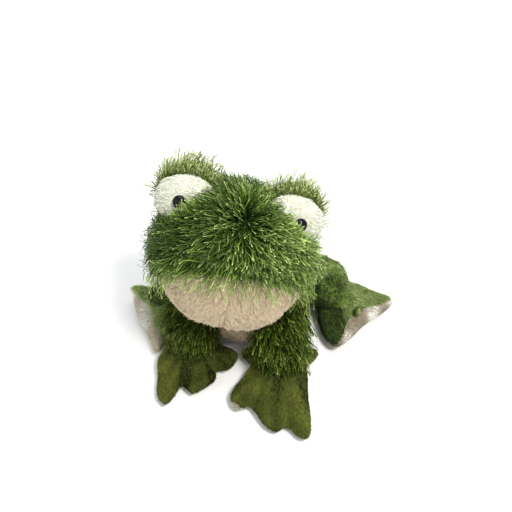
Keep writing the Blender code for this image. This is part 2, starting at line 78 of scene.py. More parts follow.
HAND_OUTLINE = {
    "l": [(17, -107), (11, -102), (10, -94), (13, -83), (17, -72), (18, -63),
          (11, -57), (12, -50), (24, -47), (42, -46), (58, -42), (68, -38),
          (71, -45), (65, -55), (67, -68), (71, -88), (75, -104), (76, -118),
          (69, -120), (58, -113), (50, -119), (40, -115), (31, -106), (25, -103)],
    "r": [(-39, -113.5), (-47, -108), (-51, -93), (-55, -78), (-53, -67), (-46, -58),
          (-30, -53), (-10, -52), (3, -54), (7, -60), (3, -71), (-6, -75), (-6, -85),
          (-14, -95), (-20, -99.5), (-25.5, -96.5), (-30, -94.8), (-32.8, -97.5), (-34.3, -103.5),
          (-36, -110)],
}
FOOT_OUTLINE = {
    "l": [(127.5, 23), (126.5, 17), (121, 10.5), (115, 4), (110, -3), (104.5, -11),
          (98, -21), (92.5, -29), (86, -34), (79, -31), (72, -21), (67, -8),
          (66, 6), (74, 27), (85, 37), (98, 36.5), (112, 32), (122, 28)],
    "r": [(-98.5, -14), (-95, -21.5), (-89.5, -31.5), (-82.5, -42), (-74, -51.5), (-67, -59),
          (-63, -66), (-58.5, -68), (-56, -60), (-54.5, -46), (-54, -30), (-55, -18),
          (-62, -10), (-75, -9), (-89, -10)],
}


# -------------------------------------------------------------- small number work
def unit(v):
    v = np.asarray(v, float)
    return v / np.maximum(np.linalg.norm(v, axis=-1, keepdims=True), 1e-9)


def smooth(a, b, x):
    k = np.clip((np.asarray(x, float) - a) / (b - a), 0, 1)
    return k * k * (3 - 2 * k)


def bump(x, width):
    return np.exp(-(np.asarray(x, float) / width) ** 2)


def to_head(p):
    return (np.asarray(p, float) - HEAD_AT) @ HEAD_ROT


def from_head(q):
    return np.asarray(q, float) @ HEAD_ROT.T + HEAD_AT


def lumps(p, scale, seed):
    """Smooth lattice noise from -1 to 1 at points p, with features of about scale."""
    q = np.asarray(p, float) / scale + 31.7 + seed * 5.31
    i = np.floor(q).astype(np.int64)
    f = q - i
    f = f * f * (3 - 2 * f)

    def corner(dx, dy, dz):
        n = (i[:, 0] + dx) * 73856093 ^ (i[:, 1] + dy) * 19349663 ^ (i[:, 2] + dz) * 83492791 ^ seed * 7919
        n = n & 0xFFFFFFF
        n = (n * 1103515245 + 12345) & 0x7FFFFFFF
        n = (n >> 7) ^ n
        return (n % 65521) / 32760.5 - 1.0
    out = 0.0
    for dx in (0, 1):
        for dy in (0, 1):
            for dz in (0, 1):
                w = ((f[:, 0] if dx else 1 - f[:, 0]) * (f[:, 1] if dy else 1 - f[:, 1])
                     * (f[:, 2] if dz else 1 - f[:, 2]))
                out = out + w * corner(dx, dy, dz)
    return out


# --------------------------------------------------------------------- materials
def nodes_of(name):
    mat = bpy.data.materials.new(name)
    mat.use_nodes = True
    tree = mat.node_tree
    return mat, tree, tree.nodes["Principled BSDF"]


def add(tree, kind, **values):
    node = tree.nodes.new(kind)
    for key, value in values.items():
        if key in node.inputs:
            node.inputs[key].default_value = value
        else:
            setattr(node, key.replace(" ", "_").lower(), value)
    return node


def ramp(tree, source, stops):
    node = tree.nodes.new("ShaderNodeValToRGB")
    tree.links.new(source, node.inputs["Fac"])
    band = node.color_ramp
    while len(band.elements) > 1:
        band.elements.remove(band.elements[0])
    band.elements[0].position, band.elements[0].color = stops[0][0], (*stops[0][1], 1)
    for at, colour in stops[1:]:
        band.elements.new(at).color = (*colour, 1)
    return node


def cloth(name, dark, light, patch=14.0, fine=1.1, depth=0.35, rough=0.9, sheen=0.35, tint=(1, 1, 1)):
    """Short pile: soft patches where the nap lies another way, and a fine fibre grain."""
    mat, tree, bsdf = nodes_of(name)
    where = tree.nodes.new("ShaderNodeTexCoord").outputs["Object"]
    big = add(tree, "ShaderNodeTexNoise", Scale=1000.0 / patch, Detail=3.0, Roughness=0.55)
    hair = add(tree, "ShaderNodeTexNoise", Scale=1000.0 / fine, Detail=2.0, Roughness=0.6)
    stretch = add(tree, "ShaderNodeMapping")
    stretch.inputs["Scale"].default_value = (1.0, 1.0, 0.45)
    tree.links.new(where, big.inputs["Vector"])
    tree.links.new(where, stretch.inputs["Vector"])
    tree.links.new(stretch.outputs[0], hair.inputs["Vector"])
    mix = add(tree, "ShaderNodeMath", operation="MULTIPLY_ADD")
    tree.links.new(hair.outputs["Fac"], mix.inputs[0])
    mix.inputs[1].default_value = 0.55
    part = add(tree, "ShaderNodeMath", operation="MULTIPLY")
    tree.links.new(big.outputs["Fac"], part.inputs[0])
    part.inputs[1].default_value = 0.55
    tree.links.new(part.outputs[0], mix.inputs[2])
    colour = ramp(tree, mix.outputs[0], [(0.36, dark), (0.70, light)])
    tree.links.new(colour.outputs["Color"], bsdf.inputs["Base Color"])
    lift = add(tree, "ShaderNodeBump", Strength=depth, Distance=0.0006)
    tree.links.new(hair.outputs["Fac"], lift.inputs["Height"])
    tree.links.new(lift.outputs["Normal"], bsdf.inputs["Normal"])
    bsdf.inputs["Roughness"].default_value = rough
    bsdf.inputs["Sheen Weight"].default_value = sheen
    bsdf.inputs["Sheen Roughness"].default_value = 0.4
    bsdf.inputs["Sheen Tint"].default_value = (*tint, 1)
    bsdf.inputs["Specular IOR Level"].default_value = 0.25
    return mat


def fibres(name, dark, light, rough=0.4, specular=0.5, sheen=0.0, glint=(1, 1, 1)):
    """Pile strands. The mesh carries how far along a strand a point is, and the strand's tone."""
    mat, tree, bsdf = nodes_of(name)
    data = add(tree, "ShaderNodeAttribute", attribute_name="fibre", attribute_type="GEOMETRY")
    split = tree.nodes.new("ShaderNodeSeparateColor")
    tree.links.new(data.outputs["Color"], split.inputs[0])
    low = ramp(tree, split.outputs[0], dark)
    high = ramp(tree, split.outputs[0], light)
    mix = add(tree, "ShaderNodeMix", data_type="RGBA")
    tree.links.new(split.outputs[1], mix.inputs["Factor"])
    tree.links.new(low.outputs["Color"], mix.inputs[6])
    tree.links.new(high.outputs["Color"], mix.inputs[7])
    tree.links.new(mix.outputs[2], bsdf.inputs["Base Color"])
    bsdf.inputs["Roughness"].default_value = rough
    bsdf.inputs["Specular IOR Level"].default_value = specular
    bsdf.inputs["Sheen Weight"].default_value = sheen
    bsdf.inputs["Specular Tint"].default_value = (*glint, 1)
    return mat


SHAG_DARK = [(0.0, (0.003, 0.008, 0.001)), (0.40, (0.008, 0.024, 0.002)), (0.80, (0.020, 0.048, 0.005)),
             (1.0, (0.046, 0.088, 0.011))]
SHAG_LIGHT = [(0.0, (0.006, 0.016, 0.001)), (0.30, (0.046, 0.104, 0.008)), (0.60, (0.185, 0.315, 0.042)),
              (0.87, (0.36, 0.51, 0.12)), (1.0, (0.72, 0.86, 0.36))]
HOOD_DARK = [(0.0, (0.020, 0.034, 0.005)), (0.40, (0.055, 0.090, 0.014)), (1.0, (0.16, 0.21, 0.055))]
HOOD_LIGHT = [(0.0, (0.045, 0.070, 0.012)), (0.35, (0.15, 0.205, 0.045)), (0.75, (0.36, 0.43, 0.15)),
              (1.0, (0.66, 0.72, 0.38))]
ARM_DARK = [(0.0, (0.003, 0.006, 0.001)), (0.40, (0.009, 0.018, 0.001)), (0.80, (0.023, 0.040, 0.003)),
            (1.0, (0.054, 0.082, 0.008))]
ARM_LIGHT = [(0.0, (0.005, 0.010, 0.001)), (0.30, (0.032, 0.060, 0.004)), (0.62, (0.125, 0.190, 0.016)),
             (0.87, (0.27, 0.37, 0.060)), (1.0, (0.50, 0.62, 0.18))]
MAT = {
    "shag_base": cloth("shag_backing", (0.008, 0.020, 0.002), (0.024, 0.052, 0.006), 9, 1.0, 0.5, 0.9, 0.0),
    "shag": fibres("shag_fibre", SHAG_DARK, SHAG_LIGHT, 0.34, 0.17, 0.0, (0.85, 1.0, 0.5)),
    "hood_base": cloth("hood_backing", (0.035, 0.058, 0.010), (0.100, 0.140, 0.032), 9, 1.0, 0.5, 0.9, 0.0),
    "shag_hood": fibres("shag_hood_fibre", HOOD_DARK, HOOD_LIGHT, 0.40, 0.15, 0.0, (0.9, 1.0, 0.6)),
    "shag_arm": fibres("shag_arm_fibre", ARM_DARK, ARM_LIGHT, 0.45, 0.10, 0.0, (0.9, 1.0, 0.5)),
    "pile_base": cloth("olive_pile", (0.022, 0.028, 0.003), (0.085, 0.104, 0.012), 13, 0.9, 0.45, 0.9, 0.06,
                       (0.7, 0.85, 0.3)),
    "pile": fibres("olive_fibre", [(0.0, (0.006, 0.008, 0.001)), (1.0, (0.020, 0.025, 0.002))],
                   [(0.0, (0.060, 0.074, 0.006)), (1.0, (0.30, 0.345, 0.070))], 0.75, 0.12),
    "leg_base": cloth("green_pile", (0.030, 0.055, 0.006), (0.140, 0.215, 0.035), 15, 0.9, 0.45, 0.9, 0.10,
                      (0.7, 0.9, 0.4)),
    "leg": fibres("green_fibre", [(0.0, (0.006, 0.012, 0.001)), (1.0, (0.020, 0.038, 0.005))],
                  [(0.0, (0.095, 0.150, 0.020)), (1.0, (0.62, 0.78, 0.29))], 0.7, 0.2, 0.05),
    "beige_base": cloth("beige_plush", (0.50, 0.385, 0.245), (0.68, 0.545, 0.385), 12, 1.0, 0.4, 0.9, 0.15,
                        (1.0, 0.93, 0.78)),
    "beige": fibres("beige_fibre", [(0.0, (0.42, 0.315, 0.180)), (1.0, (0.63, 0.51, 0.335))],
                    [(0.0, (0.52, 0.40, 0.245)), (1.0, (0.86, 0.735, 0.54))], 0.65, 0.2, 0.1),
    "sole_base": cloth("beige_sole", (0.19, 0.155, 0.10), (0.36, 0.31, 0.22), 8, 1.0, 0.3, 0.85, 0.06,
                       (1.0, 0.95, 0.85)),
    "sole": fibres("sole_fibre", [(0.0, (0.19, 0.155, 0.098)), (1.0, (0.29, 0.245, 0.165))],
                   [(0.0, (0.80, 0.78, 0.70)), (1.0, (0.98, 0.98, 0.94))], 0.6, 0.15, 0.05),
    # A lighter copy of the sole cloth for the right foot's sole: painted light.
    "sole_pale_base": cloth("pale_sole", (0.36, 0.315, 0.21), (0.50, 0.44, 0.31), 8, 1.0, 0.3, 0.85, 0.06,
                            (1.0, 0.95, 0.85)),
    "sole_pale": fibres("pale_sole_fibre", [(0.0, (0.45, 0.395, 0.26)), (1.0, (0.60, 0.53, 0.36))],
                        [(0.0, (0.84, 0.83, 0.77)), (1.0, (0.98, 0.98, 0.95))], 0.6, 0.15, 0.05),
    "ivory_base": cloth("ivory_plush", (0.66, 0.66, 0.53), (0.82, 0.83, 0.72), 10, 0.9, 0.25, 0.9, 0.2),
    "ivory": fibres("ivory_fibre", [(0.0, (0.58, 0.58, 0.44)), (1.0, (0.78, 0.79, 0.68))],
                    [(0.0, (0.70, 0.71, 0.58)), (1.0, (0.92, 0.93, 0.86))], 0.6, 0.2, 0.2),
}


def plain_material(name, dark, light, scale, rough, bump_depth=0.0, coat=0.0, specular=0.5):
    mat, tree, bsdf = nodes_of(name)
    where = tree.nodes.new("ShaderNodeTexCoord").outputs["Object"]
    noise = add(tree, "ShaderNodeTexNoise", Scale=scale, Detail=4.0)
    tree.links.new(where, noise.inputs["Vector"])
    colour = ramp(tree, noise.outputs["Fac"], [(0.35, dark), (0.65, light)])
    tree.links.new(colour.outputs["Color"], bsdf.inputs["Base Color"])
    if bump_depth:
        lift = add(tree, "ShaderNodeBump", Strength=bump_depth, Distance=0.0002)
        tree.links.new(noise.outputs["Fac"], lift.inputs["Height"])
        tree.links.new(lift.outputs["Normal"], bsdf.inputs["Normal"])
    bsdf.inputs["Roughness"].default_value = rough
    bsdf.inputs["Coat Weight"].default_value = coat
    bsdf.inputs["Coat Roughness"].default_value = 0.05
    bsdf.inputs["Specular IOR Level"].default_value = specular
    return mat


MAT["bead"] = plain_material("black_eye", (0.002, 0.002, 0.0022), (0.004, 0.004, 0.0045), 300, 0.10, 0.0, 0.0, 0.22)
MAT["washer"] = plain_material("white_washer", (0.68, 0.68, 0.66), (0.80, 0.80, 0.78), 220, 0.45, 0.1)
MAT["thread"] = plain_material("green_thread", (0.02, 0.045, 0.01), (0.05, 0.10, 0.02), 900, 0.8, 0.6)
MAT["seam"] = plain_material("seam_thread_beige", (0.34, 0.25, 0.17), (0.50, 0.38, 0.26), 900, 0.85, 0.5)


# ------------------------------------------------------------------- mesh making
GROUND = {}      # name: points, triangles and normals of a skin's outer face, in mm


def write_mesh(name, points, faces, material):
    me = bpy.data.meshes.new(name)
    me.from_pydata((np.asarray(points) * MM).tolist(), [], faces)
    me.polygons.foreach_set("use_smooth", np.ones(len(me.polygons), bool))
    me.materials.append(material)
    me.update()
    ob = bpy.data.objects.new(name, me)
    bpy.context.scene.collection.objects.link(ob)
    return ob


def read_ground(me, scale=1.0 / MM):
    me.calc_loop_triangles()
    co = np.empty(len(me.vertices) * 3)
    me.vertices.foreach_get("co", co)
    nrm = np.empty(len(me.vertices) * 3)
    me.vertices.foreach_get("normal", nrm)
    tri = np.empty(len(me.loop_triangles) * 3, np.int32)
    me.loop_triangles.foreach_get("vertices", tri)
    return co.reshape(-1, 3) * scale, tri.reshape(-1, 3), nrm.reshape(-1, 3)


def finish_skin(name, bm, material, lip, towards):
    """Writes the skin, keeps its outer face for the pile, and tucks its edges in."""
    bm.normal_update()
    me = bpy.data.meshes.new(name)
    bm.to_mesh(me)
    GROUND[name] = read_ground(me, 1.0)
    edges = [e for e in bm.edges if e.is_boundary]
    if lip and edges:
        out = bmesh.ops.extrude_edge_only(bm, edges=edges)
        fresh = [g for g in out["geom"] if isinstance(g, bmesh.types.BMVert)]
        for v in fresh:
            way = Vector(towards(np.array(v.co)))
            v.co += way.normalized() * lip
    for v in bm.verts:
        v.co *= MM
    bm.to_mesh(me)
    bm.free()
    me.polygons.foreach_set("use_smooth", np.ones(len(me.polygons), bool))
    me.materials.append(material)
    me.update()
    ob = bpy.data.objects.new(name, me)
    bpy.context.scene.collection.objects.link(ob)
    return ob


def skin(name, shape, level, planes, material, centre, drop=None, lip=3.0):
    """Part of a rounded form: shape() maps directions to points, planes cut it where it is sewn."""
    bm = bmesh.new()
    bmesh.ops.create_icosphere(bm, subdivisions=level, radius=1.0)
    dirs = unit(np.array([v.co for v in bm.verts]))
    for v, p in zip(bm.verts, shape(dirs)):
        v.co = p
    for at, normal in planes:
        bmesh.ops.bisect_plane(bm, geom=bm.verts[:] + bm.edges[:] + bm.faces[:], dist=1e-5,
                               plane_co=Vector(at), plane_no=Vector(normal), clear_outer=True)
    if drop is not None:
        gone = drop(np.array([v.co for v in bm.verts]))
        bmesh.ops.delete(bm, geom=[v for v, g in zip(bm.verts[:], gone) if g], context="VERTS")
    centre = np.asarray(centre, float)
    return finish_skin(name, bm, material, lip, lambda p: centre - p)


# -------------------------------------------------------------------------- pile
def scatter(ground, count, rng, weight=None):
    co, tri, nrm = ground
    a, b, c = (co[tri[:, k]] for k in range(3))
    area = np.linalg.norm(np.cross(b - a, c - a), axis=1) / 2
    if weight is not None:
        area = area * np.clip(weight((a + b + c) / 3), 0, None)
    pick = rng.choice(len(tri), count, p=area / area.sum())
    u, v = rng.random(count), rng.random(count)
    over = u + v > 1
    u[over], v[over] = 1 - u[over], 1 - v[over]
    w = np.stack([1 - u - v, u, v], 1)
    at = sum(w[:, k, None] * co[tri[pick, k]] for k in range(3))
    way = unit(sum(w[:, k, None] * nrm[tri[pick, k]] for k in range(3)))
    return at, way


def pile(name, grounds, count, length, width, lift, comb, material, seed, segs=4, droop=0.0,
         tuft=(0, 0.0), turn=14.0, wave=0.0, weight=None, keep=None, push=None, tone=None,
         flat_side=1.0, taper=0.55, knob=0.0, lift_spread=10.0, length_spread=0.18, floor=0.5, stop=None):
    """Strands as thin tapered ribbons. All of them make one mesh. A strand ends soon after stop is true."""
    rng = np.random.default_rng(seed)
    if isinstance(grounds, str):
        grounds = [grounds]
    sets = [GROUND[g] for g in grounds]
    shift, co, tri, nrm = 0, [], [], []
    for c, t, n in sets:
        co.append(c), tri.append(t + shift), nrm.append(n)
        shift += len(c)
    ground = (np.concatenate(co), np.concatenate(tri), np.concatenate(nrm))
    root, normal = scatter(ground, count, rng, weight)
    if keep is not None:
        ok = keep(root)
        root, normal = root[ok], normal[ok]
    n = len(root)
    long = (length(root) if callable(length) else np.full(n, float(length)))
    long = long * np.clip(rng.normal(1.0, length_spread, n), 0.5, 1.45)
    way = comb(root, normal)
    way = unit(way - (way * normal).sum(1, keepdims=True) * normal)
    spin = np.radians(rng.normal(0, turn, n))[:, None]
    way = way * np.cos(spin) + np.cross(normal, way) * np.sin(spin)
    low, high = lift
    low = low(root) if callable(low) else np.full(n, float(low))
    high = high(root) if callable(high) else np.full(n, float(high))
    off = rng.normal(0, lift_spread, n)
    low, high = np.radians(low + off), np.radians(high + off)
    phase, side = rng.random(n) * 6.283, unit(np.cross(normal, way))
    pts = np.empty((n, segs + 1, 3))
    pts[:, 0] = root - normal * 0.3
    along = np.zeros(n)
    for k in range(1, segs + 1):
        t = (k - 0.5) / segs
        angle = low + (high - low) * t
        d = normal * np.sin(angle)[:, None] + way * np.cos(angle)[:, None]
        if wave:
            d = d + side * (wave * np.sin(phase + 5.0 * t))[:, None]
        d[:, 2] -= droop * t ** 1.2
        pts[:, k] = pts[:, k - 1] + unit(d) * (long / segs)[:, None]
    size, pull = tuft
    if size > 1:
        lead = rng.choice(n, max(1, n // size), replace=False)
        tree = kdtree.KDTree(len(lead))
        for i, j in enumerate(lead):
            tree.insert(root[j], i)
        tree.balance()
        boss = np.array([lead[tree.find(p)[1]] for p in root])
        share = pull * rng.uniform(0.6, 1.15, n)
        for k in range(1, segs + 1):
            t = k / segs
            target = pts[boss, k] + (root - root[boss]) * (1 - 0.8 * t)
            w = (share * t)[:, None]
            pts[:, k] = pts[:, k] * (1 - w) + target * w
    if stop is not None:
        hit = stop(pts.reshape(-1, 3)).reshape(n, segs + 1)
        first = np.where(hit[:, 1:].any(1), hit[:, 1:].argmax(1) + 1.0, segs + 1.0)
        share = np.clip((first + rng.uniform(-0.5, 0.5, n)) / segs, 0.12, 1.0)
        whole, row = pts.copy(), np.arange(n)
        for k in range(1, segs + 1):
            at = k * share
            low_k = np.minimum(at.astype(int), segs - 1)
            part = (at - low_k)[:, None]
            pts[:, k] = whole[row, low_k] * (1 - part) + whole[row, low_k + 1] * part
    if push is not None:
        for k in range(1, segs + 1):
            pts[:, k] = push(pts[:, k])
    pts[:, 1:, 2] = np.maximum(pts[:, 1:, 2], floor)
    return write_strands(name, pts, normal, width, (lambda: rng.random(n)) if tone is None else (lambda: tone(root, rng)),
                         rng, material, flat_side, taper, knob)


def write_strands(name, pts, normal, width, tones, rng, material, flat_side=1.0, taper=0.55, knob=0.0):
    """Ribbons along the lines in pts, one row of points a strand, as one mesh."""
    n, segs = pts.shape[0], pts.shape[1] - 1
    step = unit(np.diff(pts, axis=1))
    step = np.concatenate([step, step[:, -1:]], 1)
    face = unit(normal * flat_side + rng.normal(0, 0.75, (n, 3)))
    wide = unit(np.cross(step, face[:, None]))
    thick = width * rng.uniform(0.75, 1.25, n)
    verts, fib, u = [], [], []
    shade = np.clip(tones(), 0, 1)
    level = np.minimum((shade * 64).astype(int), 63)
    shade = (level + 0.5) / 64
    blunt = 1 if knob else 0
    for k in range(segs + blunt):
        t = k / segs
        half = (thick * (1 - (1 - taper) * t + (knob if k == segs else 0.0)) / 2)[:, None] * wide[:, k]
        for sign in (-1, 1):
            verts.append(pts[:, k] + sign * half)
            fib.append(t)
            u.append(0.25 if sign < 0 else 0.75)
    if not blunt:
        verts.append(pts[:, segs])
        fib.append(1.0)
        u.append(0.5)
    per = len(verts)
    verts = np.stack(verts, 1).reshape(-1, 3)
    base = (np.arange(n) * per)[:, None]
    steps = segs - 1 + blunt
    quads = np.concatenate([base + np.array([2 * k, 2 * k + 1, 2 * k + 3, 2 * k + 2]) for k in range(steps)]) \
        if steps else np.empty((0, 4), int)
    tips = base + np.array([2 * segs - 2, 2 * segs - 1, 2 * segs]) if not blunt else np.empty((0, 3), int)
    me = bpy.data.meshes.new(name)
    me.vertices.add(len(verts))
    me.vertices.foreach_set("co", (verts * MM).astype(np.float32).ravel())
    loops = np.concatenate([quads.ravel(), tips.ravel()]).astype(np.int32)
    me.loops.add(len(loops))
    me.loops.foreach_set("vertex_index", loops)
    starts = np.concatenate([np.arange(len(quads)) * 4, len(quads) * 4 + np.arange(len(tips)) * 3])
    me.polygons.add(len(starts))
    me.polygons.foreach_set("loop_start", starts.astype(np.int32))
    me.polygons.foreach_set("use_smooth", np.ones(len(starts), bool))
    me.update(calc_edges=True)
    values = np.empty((n, per, 4), np.float32)
    values[:, :, 0] = np.array(fib)[None]
    values[:, :, 1] = shade[:, None]
    values[:, :, 2] = 0.0
    values[:, :, 3] = 1.0
    me.attributes.new("fibre", "FLOAT_COLOR", "POINT").data.foreach_set("color", values.ravel())
    place = np.empty((n, per, 2), np.float32)
    place[:, :, 0] = (level[:, None] + np.array(u)[None]) / 64
    place[:, :, 1] = 0.02 + 0.96 * np.array(fib)[None]
    me.uv_layers.new(name="OFBake").uv.foreach_set("vector", place.reshape(-1, 2)[loops].ravel())
    me.materials.append(material)
    me.validate()
    ob = bpy.data.objects.new(name, me)
    bpy.context.scene.collection.objects.link(ob)
    return ob


def settle(piece, body, nodes=()):
    if nodes:
        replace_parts(piece, *nodes)
    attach(piece, body)
    return piece


# ------------------------------------------------------- stuffing by simulation
def stuffed(name, points, faces, cell, cap, shrink=0.4, pressure=9.0, hold=1.0):
    """Blows up a closed cover like its stuffing does. Gives a function from places to their moves.

    hold is the share of the sideways move that a seam round the edge lets through.
    """
    me = bpy.data.meshes.new("trial_" + name)
    me.from_pydata((np.asarray(points) * MM).tolist(), [], faces)
    ob = bpy.data.objects.new("trial_" + name, me)
    bpy.context.scene.collection.objects.link(ob)
    even = ob.modifiers.new("even", "REMESH")
    even.mode = "VOXEL"
    even.voxel_size = cell * MM
    cover = bpy.data.meshes.new_from_object(ob.evaluated_get(bpy.context.evaluated_depsgraph_get()))
    ob.modifiers.clear()
    ob.data = cover
    n = len(cover.vertices)
    start, normal = np.empty(n * 3), np.empty(n * 3)
    cover.vertices.foreach_get("co", start)
    cover.vertices.foreach_get("normal", normal)
    start, normal = start.reshape(-1, 3) / MM, normal.reshape(-1, 3)
    cover.vertices.foreach_set("co", ((start - normal * shrink) * MM).ravel())
    cover.update()
    cloth = ob.modifiers.new("cloth", "CLOTH")
    made = cloth.settings
    made.quality = 5
    made.mass = 0.15
    made.tension_stiffness = made.compression_stiffness = 12.0
    made.shear_stiffness = 6.0
    made.bending_stiffness = 0.3
    made.use_pressure = True
    made.uniform_pressure_force = pressure
    made.effector_weights.gravity = 0.0
    cloth.collision_settings.use_collision = False
    cloth.collision_settings.use_self_collision = False
    cloth.point_cache.frame_start, cloth.point_cache.frame_end = 1, 20
    for f in range(1, 21):
        bpy.context.scene.frame_set(f)
    end = np.empty(n * 3)
    ob.evaluated_get(bpy.context.evaluated_depsgraph_get()).data.vertices.foreach_get("co", end)
    end = end.reshape(-1, 3) / MM
    bpy.context.scene.frame_set(1)
    bpy.data.objects.remove(ob)
    bpy.data.meshes.remove(cover)
    bpy.data.meshes.remove(me)
    move = end - start
    move -= move.mean(0)
    move[:, :2] *= hold
    far = np.linalg.norm(move, axis=1, keepdims=True)
    move = move * np.minimum(1.0, cap / np.maximum(far, 1e-9))
    tree = kdtree.KDTree(n)
    for i, at in enumerate(start):
        tree.insert(at, i)
    tree.balance()

    def moved(p):
        p = np.asarray(p, float)
        flat, out = p.reshape(-1, 3), np.empty((p.size // 3, 3))
        for i, at in enumerate(flat):
            near = tree.find_n(at, 6)
            w = np.array([1.0 / (d + 0.3 * cell) ** 2 for _, _, d in near])
            out[i] = (move[[j for _, j, _ in near]] * w[:, None]).sum(0) / w.sum()
        return out.reshape(p.shape)
    return moved


# -------------------------------------------------------------------------- head
def head_points(d):
    """Rounded head in its own frame, pulled in a little where it is sewn."""
    k = (np.abs(d) ** 2.2).sum(1) ** (-1 / 2.2)
    p = d * k[:, None] * HEAD_R
    mouth = (p - MOUTH_AT) @ MOUTH_UP
    pull = 1.7 * bump(mouth, 2.6) + 0.9 * bump(p[:, 0], 1.8)
    cheek = smooth(4, 26, -mouth) * smooth(2, 22, np.abs(p[:, 0])) * 0.6
    puff = 0.7 * lumps(p, 17.0, 3) + 0.35 * lumps(p, 7.0, 5)
    under = 2.4 * smooth(3, 18, -mouth) * smooth(20, -10, p[:, 1])
    p = p + unit(p) * (cheek + puff * (1 - bump(mouth, 4)) - pull - under - 0.4)[:, None]
    return p if HEAD_MOVE is None else p + HEAD_MOVE(p)


def ball(level):
    bm = bmesh.new()
    bmesh.ops.create_icosphere(bm, subdivisions=level, radius=1.0)
    dirs, faces = unit(np.array([v.co for v in bm.verts])), [[v.index for v in f.verts] for f in bm.faces]
    bm.free()
    return dirs, faces


HEAD_MOVE = None
ball_dirs, ball_faces = ball(5)
HEAD_MOVE = stuffed("head", head_points(ball_dirs), ball_faces, 6.0, 1.5)


def head_form(p_world, grow=0.0):
    q = np.abs(to_head(p_world)) / (HEAD_R + grow)
    return (q ** 2.2).sum(1)


def neck_hole(p):
    w = from_head(p)
    return np.linalg.norm(w - NECK_AT, axis=1) < 32.0


HEAD_LOCAL = {}
for s, sign in (("l", 1.0), ("r", -1.0)):
    for part, side, mat in (("head_top_", 1.0, "shag_base"), ("chin_", -1.0, "beige_base")):
        ob = skin("skin_" + part + s, head_points, 6 if part == "chin_" else 5,
                  [((0, 0, 0), (-sign, 0, 0)), (MOUTH_AT, MOUTH_UP * -side)], MAT[mat], (0, 0, 0), neck_hole, 4.0)
        co, tri, nrm = GROUND[ob.name]
        HEAD_LOCAL[ob.name] = (co, tri, nrm)
        GROUND[ob.name] = (from_head(co), tri, nrm @ HEAD_ROT.T)
        ob.data.transform(Matrix.Translation(Vector(HEAD_AT * MM)) @ HEAD_TURN.to_4x4())
        stands = [part + s] + (["head_stuffing"] if part == "head_top_" and s == "l" else [])
        settle(ob, "head", stands)

EYE_WORLD = {s: from_head(EYE_AT[s]) for s in "lr"}


def off_eyes(p, room=0.8):
    """Strands that reach an eye bulge lie on it instead of going in."""
    for s in "lr":
        v = p - EYE_WORLD[s]
        r = np.linalg.norm(v, axis=1, keepdims=True)
        p = np.where(r < EYE_R + room, EYE_WORLD[s] + v / np.maximum(r, 1e-6) * (EYE_R + room), p)
    return p


def in_eyes(p):
    return np.minimum(*(np.linalg.norm(p - EYE_WORLD[s], axis=1) for s in "lr")) < EYE_R + 1.0


def clear_of_eyes(p):
    ok = np.ones(len(p), bool)
    for s in "lr":
        ok &= np.linalg.norm(p - EYE_WORLD[s], axis=1) > EYE_R + 0.5
    return ok


LOOK_UP, LOOK_OUT = math.radians(4), math.radians(11)
LOOK = {s: np.array([sign * math.sin(LOOK_OUT) * math.cos(LOOK_UP), -math.cos(LOOK_OUT) * math.cos(LOOK_UP),
                     math.sin(LOOK_UP)]) for s, sign in (("l", 1.0), ("r", -1.0))}
GAZE = {s: EYE_AT[s] + EYE_R * LOOK[s] + np.array([0, 0, 3.0]) for s in "lr"}
WHORL = np.array([2.5, -37.0, 43.0])          # the pile parts here, on top of the snout


def head_comb(p, n):
    q = to_head(p)
    away = q - WHORL
    away[:, 0] *= 1.25
    away[:, 0] += np.where(q[:, 0] - 1.5 > 0, 4.0, -4.0) * bump(q[:, 0] - 1.5, 16)
    front = smooth(-20, -50, q[:, 1]) * smooth(20, -10, q[:, 2])
    away[:, 2] -= 22.0 * front
    back = smooth(-5, 25, q[:, 1])
    away = unit(away)
    away[:, 2] -= 0.7 * back
    away[:, 0] += 0.30 * lumps(p, 9, 14)
    for s in "lr":
        gap = np.linalg.norm(q - EYE_AT[s], axis=1) - EYE_R
        near = bump(gap, 15) * smooth(2, -12, q[:, 1])
        away = away + unit(GAZE[s] - q) * ((0.9 if s == "l" else 1.3) * near)[:, None]
    return away @ HEAD_ROT.T


def head_length(p):
    q = to_head(p)
    near_eye = np.minimum(*(np.linalg.norm(p - EYE_WORLD[s], axis=1) - EYE_R for s in "lr"))
    front = smooth(-8, -20, q[:, 1])
    mouth = (q - MOUTH_AT) @ MOUTH_UP
    edge = 1 - 0.48 * smooth(19, 3, mouth) * smooth(12, -10, q[:, 1])
    right_side = q[:, 0] > 0
    gap = np.linalg.norm(p - EYE_WORLD["l"], axis=1) - EYE_R
    edge = edge * (1 - 0.55 * bump(gap, 11) * smooth(-33, -22, q[:, 1]) * smooth(36, 28, q[:, 0]))
    return (18.0 + np.where(right_side, 0.0, 3.5) * bump(near_eye, 12) * front - 3.0 * bump(near_eye, 8) * (1 - front)) * edge


def head_tone(p, rng):
    q = to_head(p)
    # Painted light: towards +X, where the key lamp falls, more strands are light and all are lighter (lit). On the far
    # -X side fewer strands are light (painted shade). The light strands are partly the yarn's pale tips and partly
    # painted glints. More light strands also run along the snout's lower front edge and round the eyes, with soft
    # random patches.
    rim = smooth(24, -6, q[:, 2]) * smooth(10, -30, q[:, 1])
    lit = smooth(-30, 36, q[:, 0])
    eye = np.minimum(*(np.linalg.norm(p - EYE_WORLD[s], axis=1) - EYE_R for s in "lr"))
    by_eye = bump(eye, 7) * smooth(0, -12, q[:, 1])
    painted_shade_far_left = smooth(-18, -42, q[:, 0])
    bright = rng.random(len(p)) < 0.14 + 0.11 * rim + 0.25 * lit + 0.3 * by_eye - 0.09 * painted_shade_far_left
    return np.where(bright, rng.uniform(0.65, 1.0, len(p)) * (0.76 + 0.24 * lit), rng.uniform(0.0, 0.38, len(p))
                    * (0.25 + 0.75 * lit) + 0.2 * by_eye) + 0.06 * lumps(p, 8, 8)


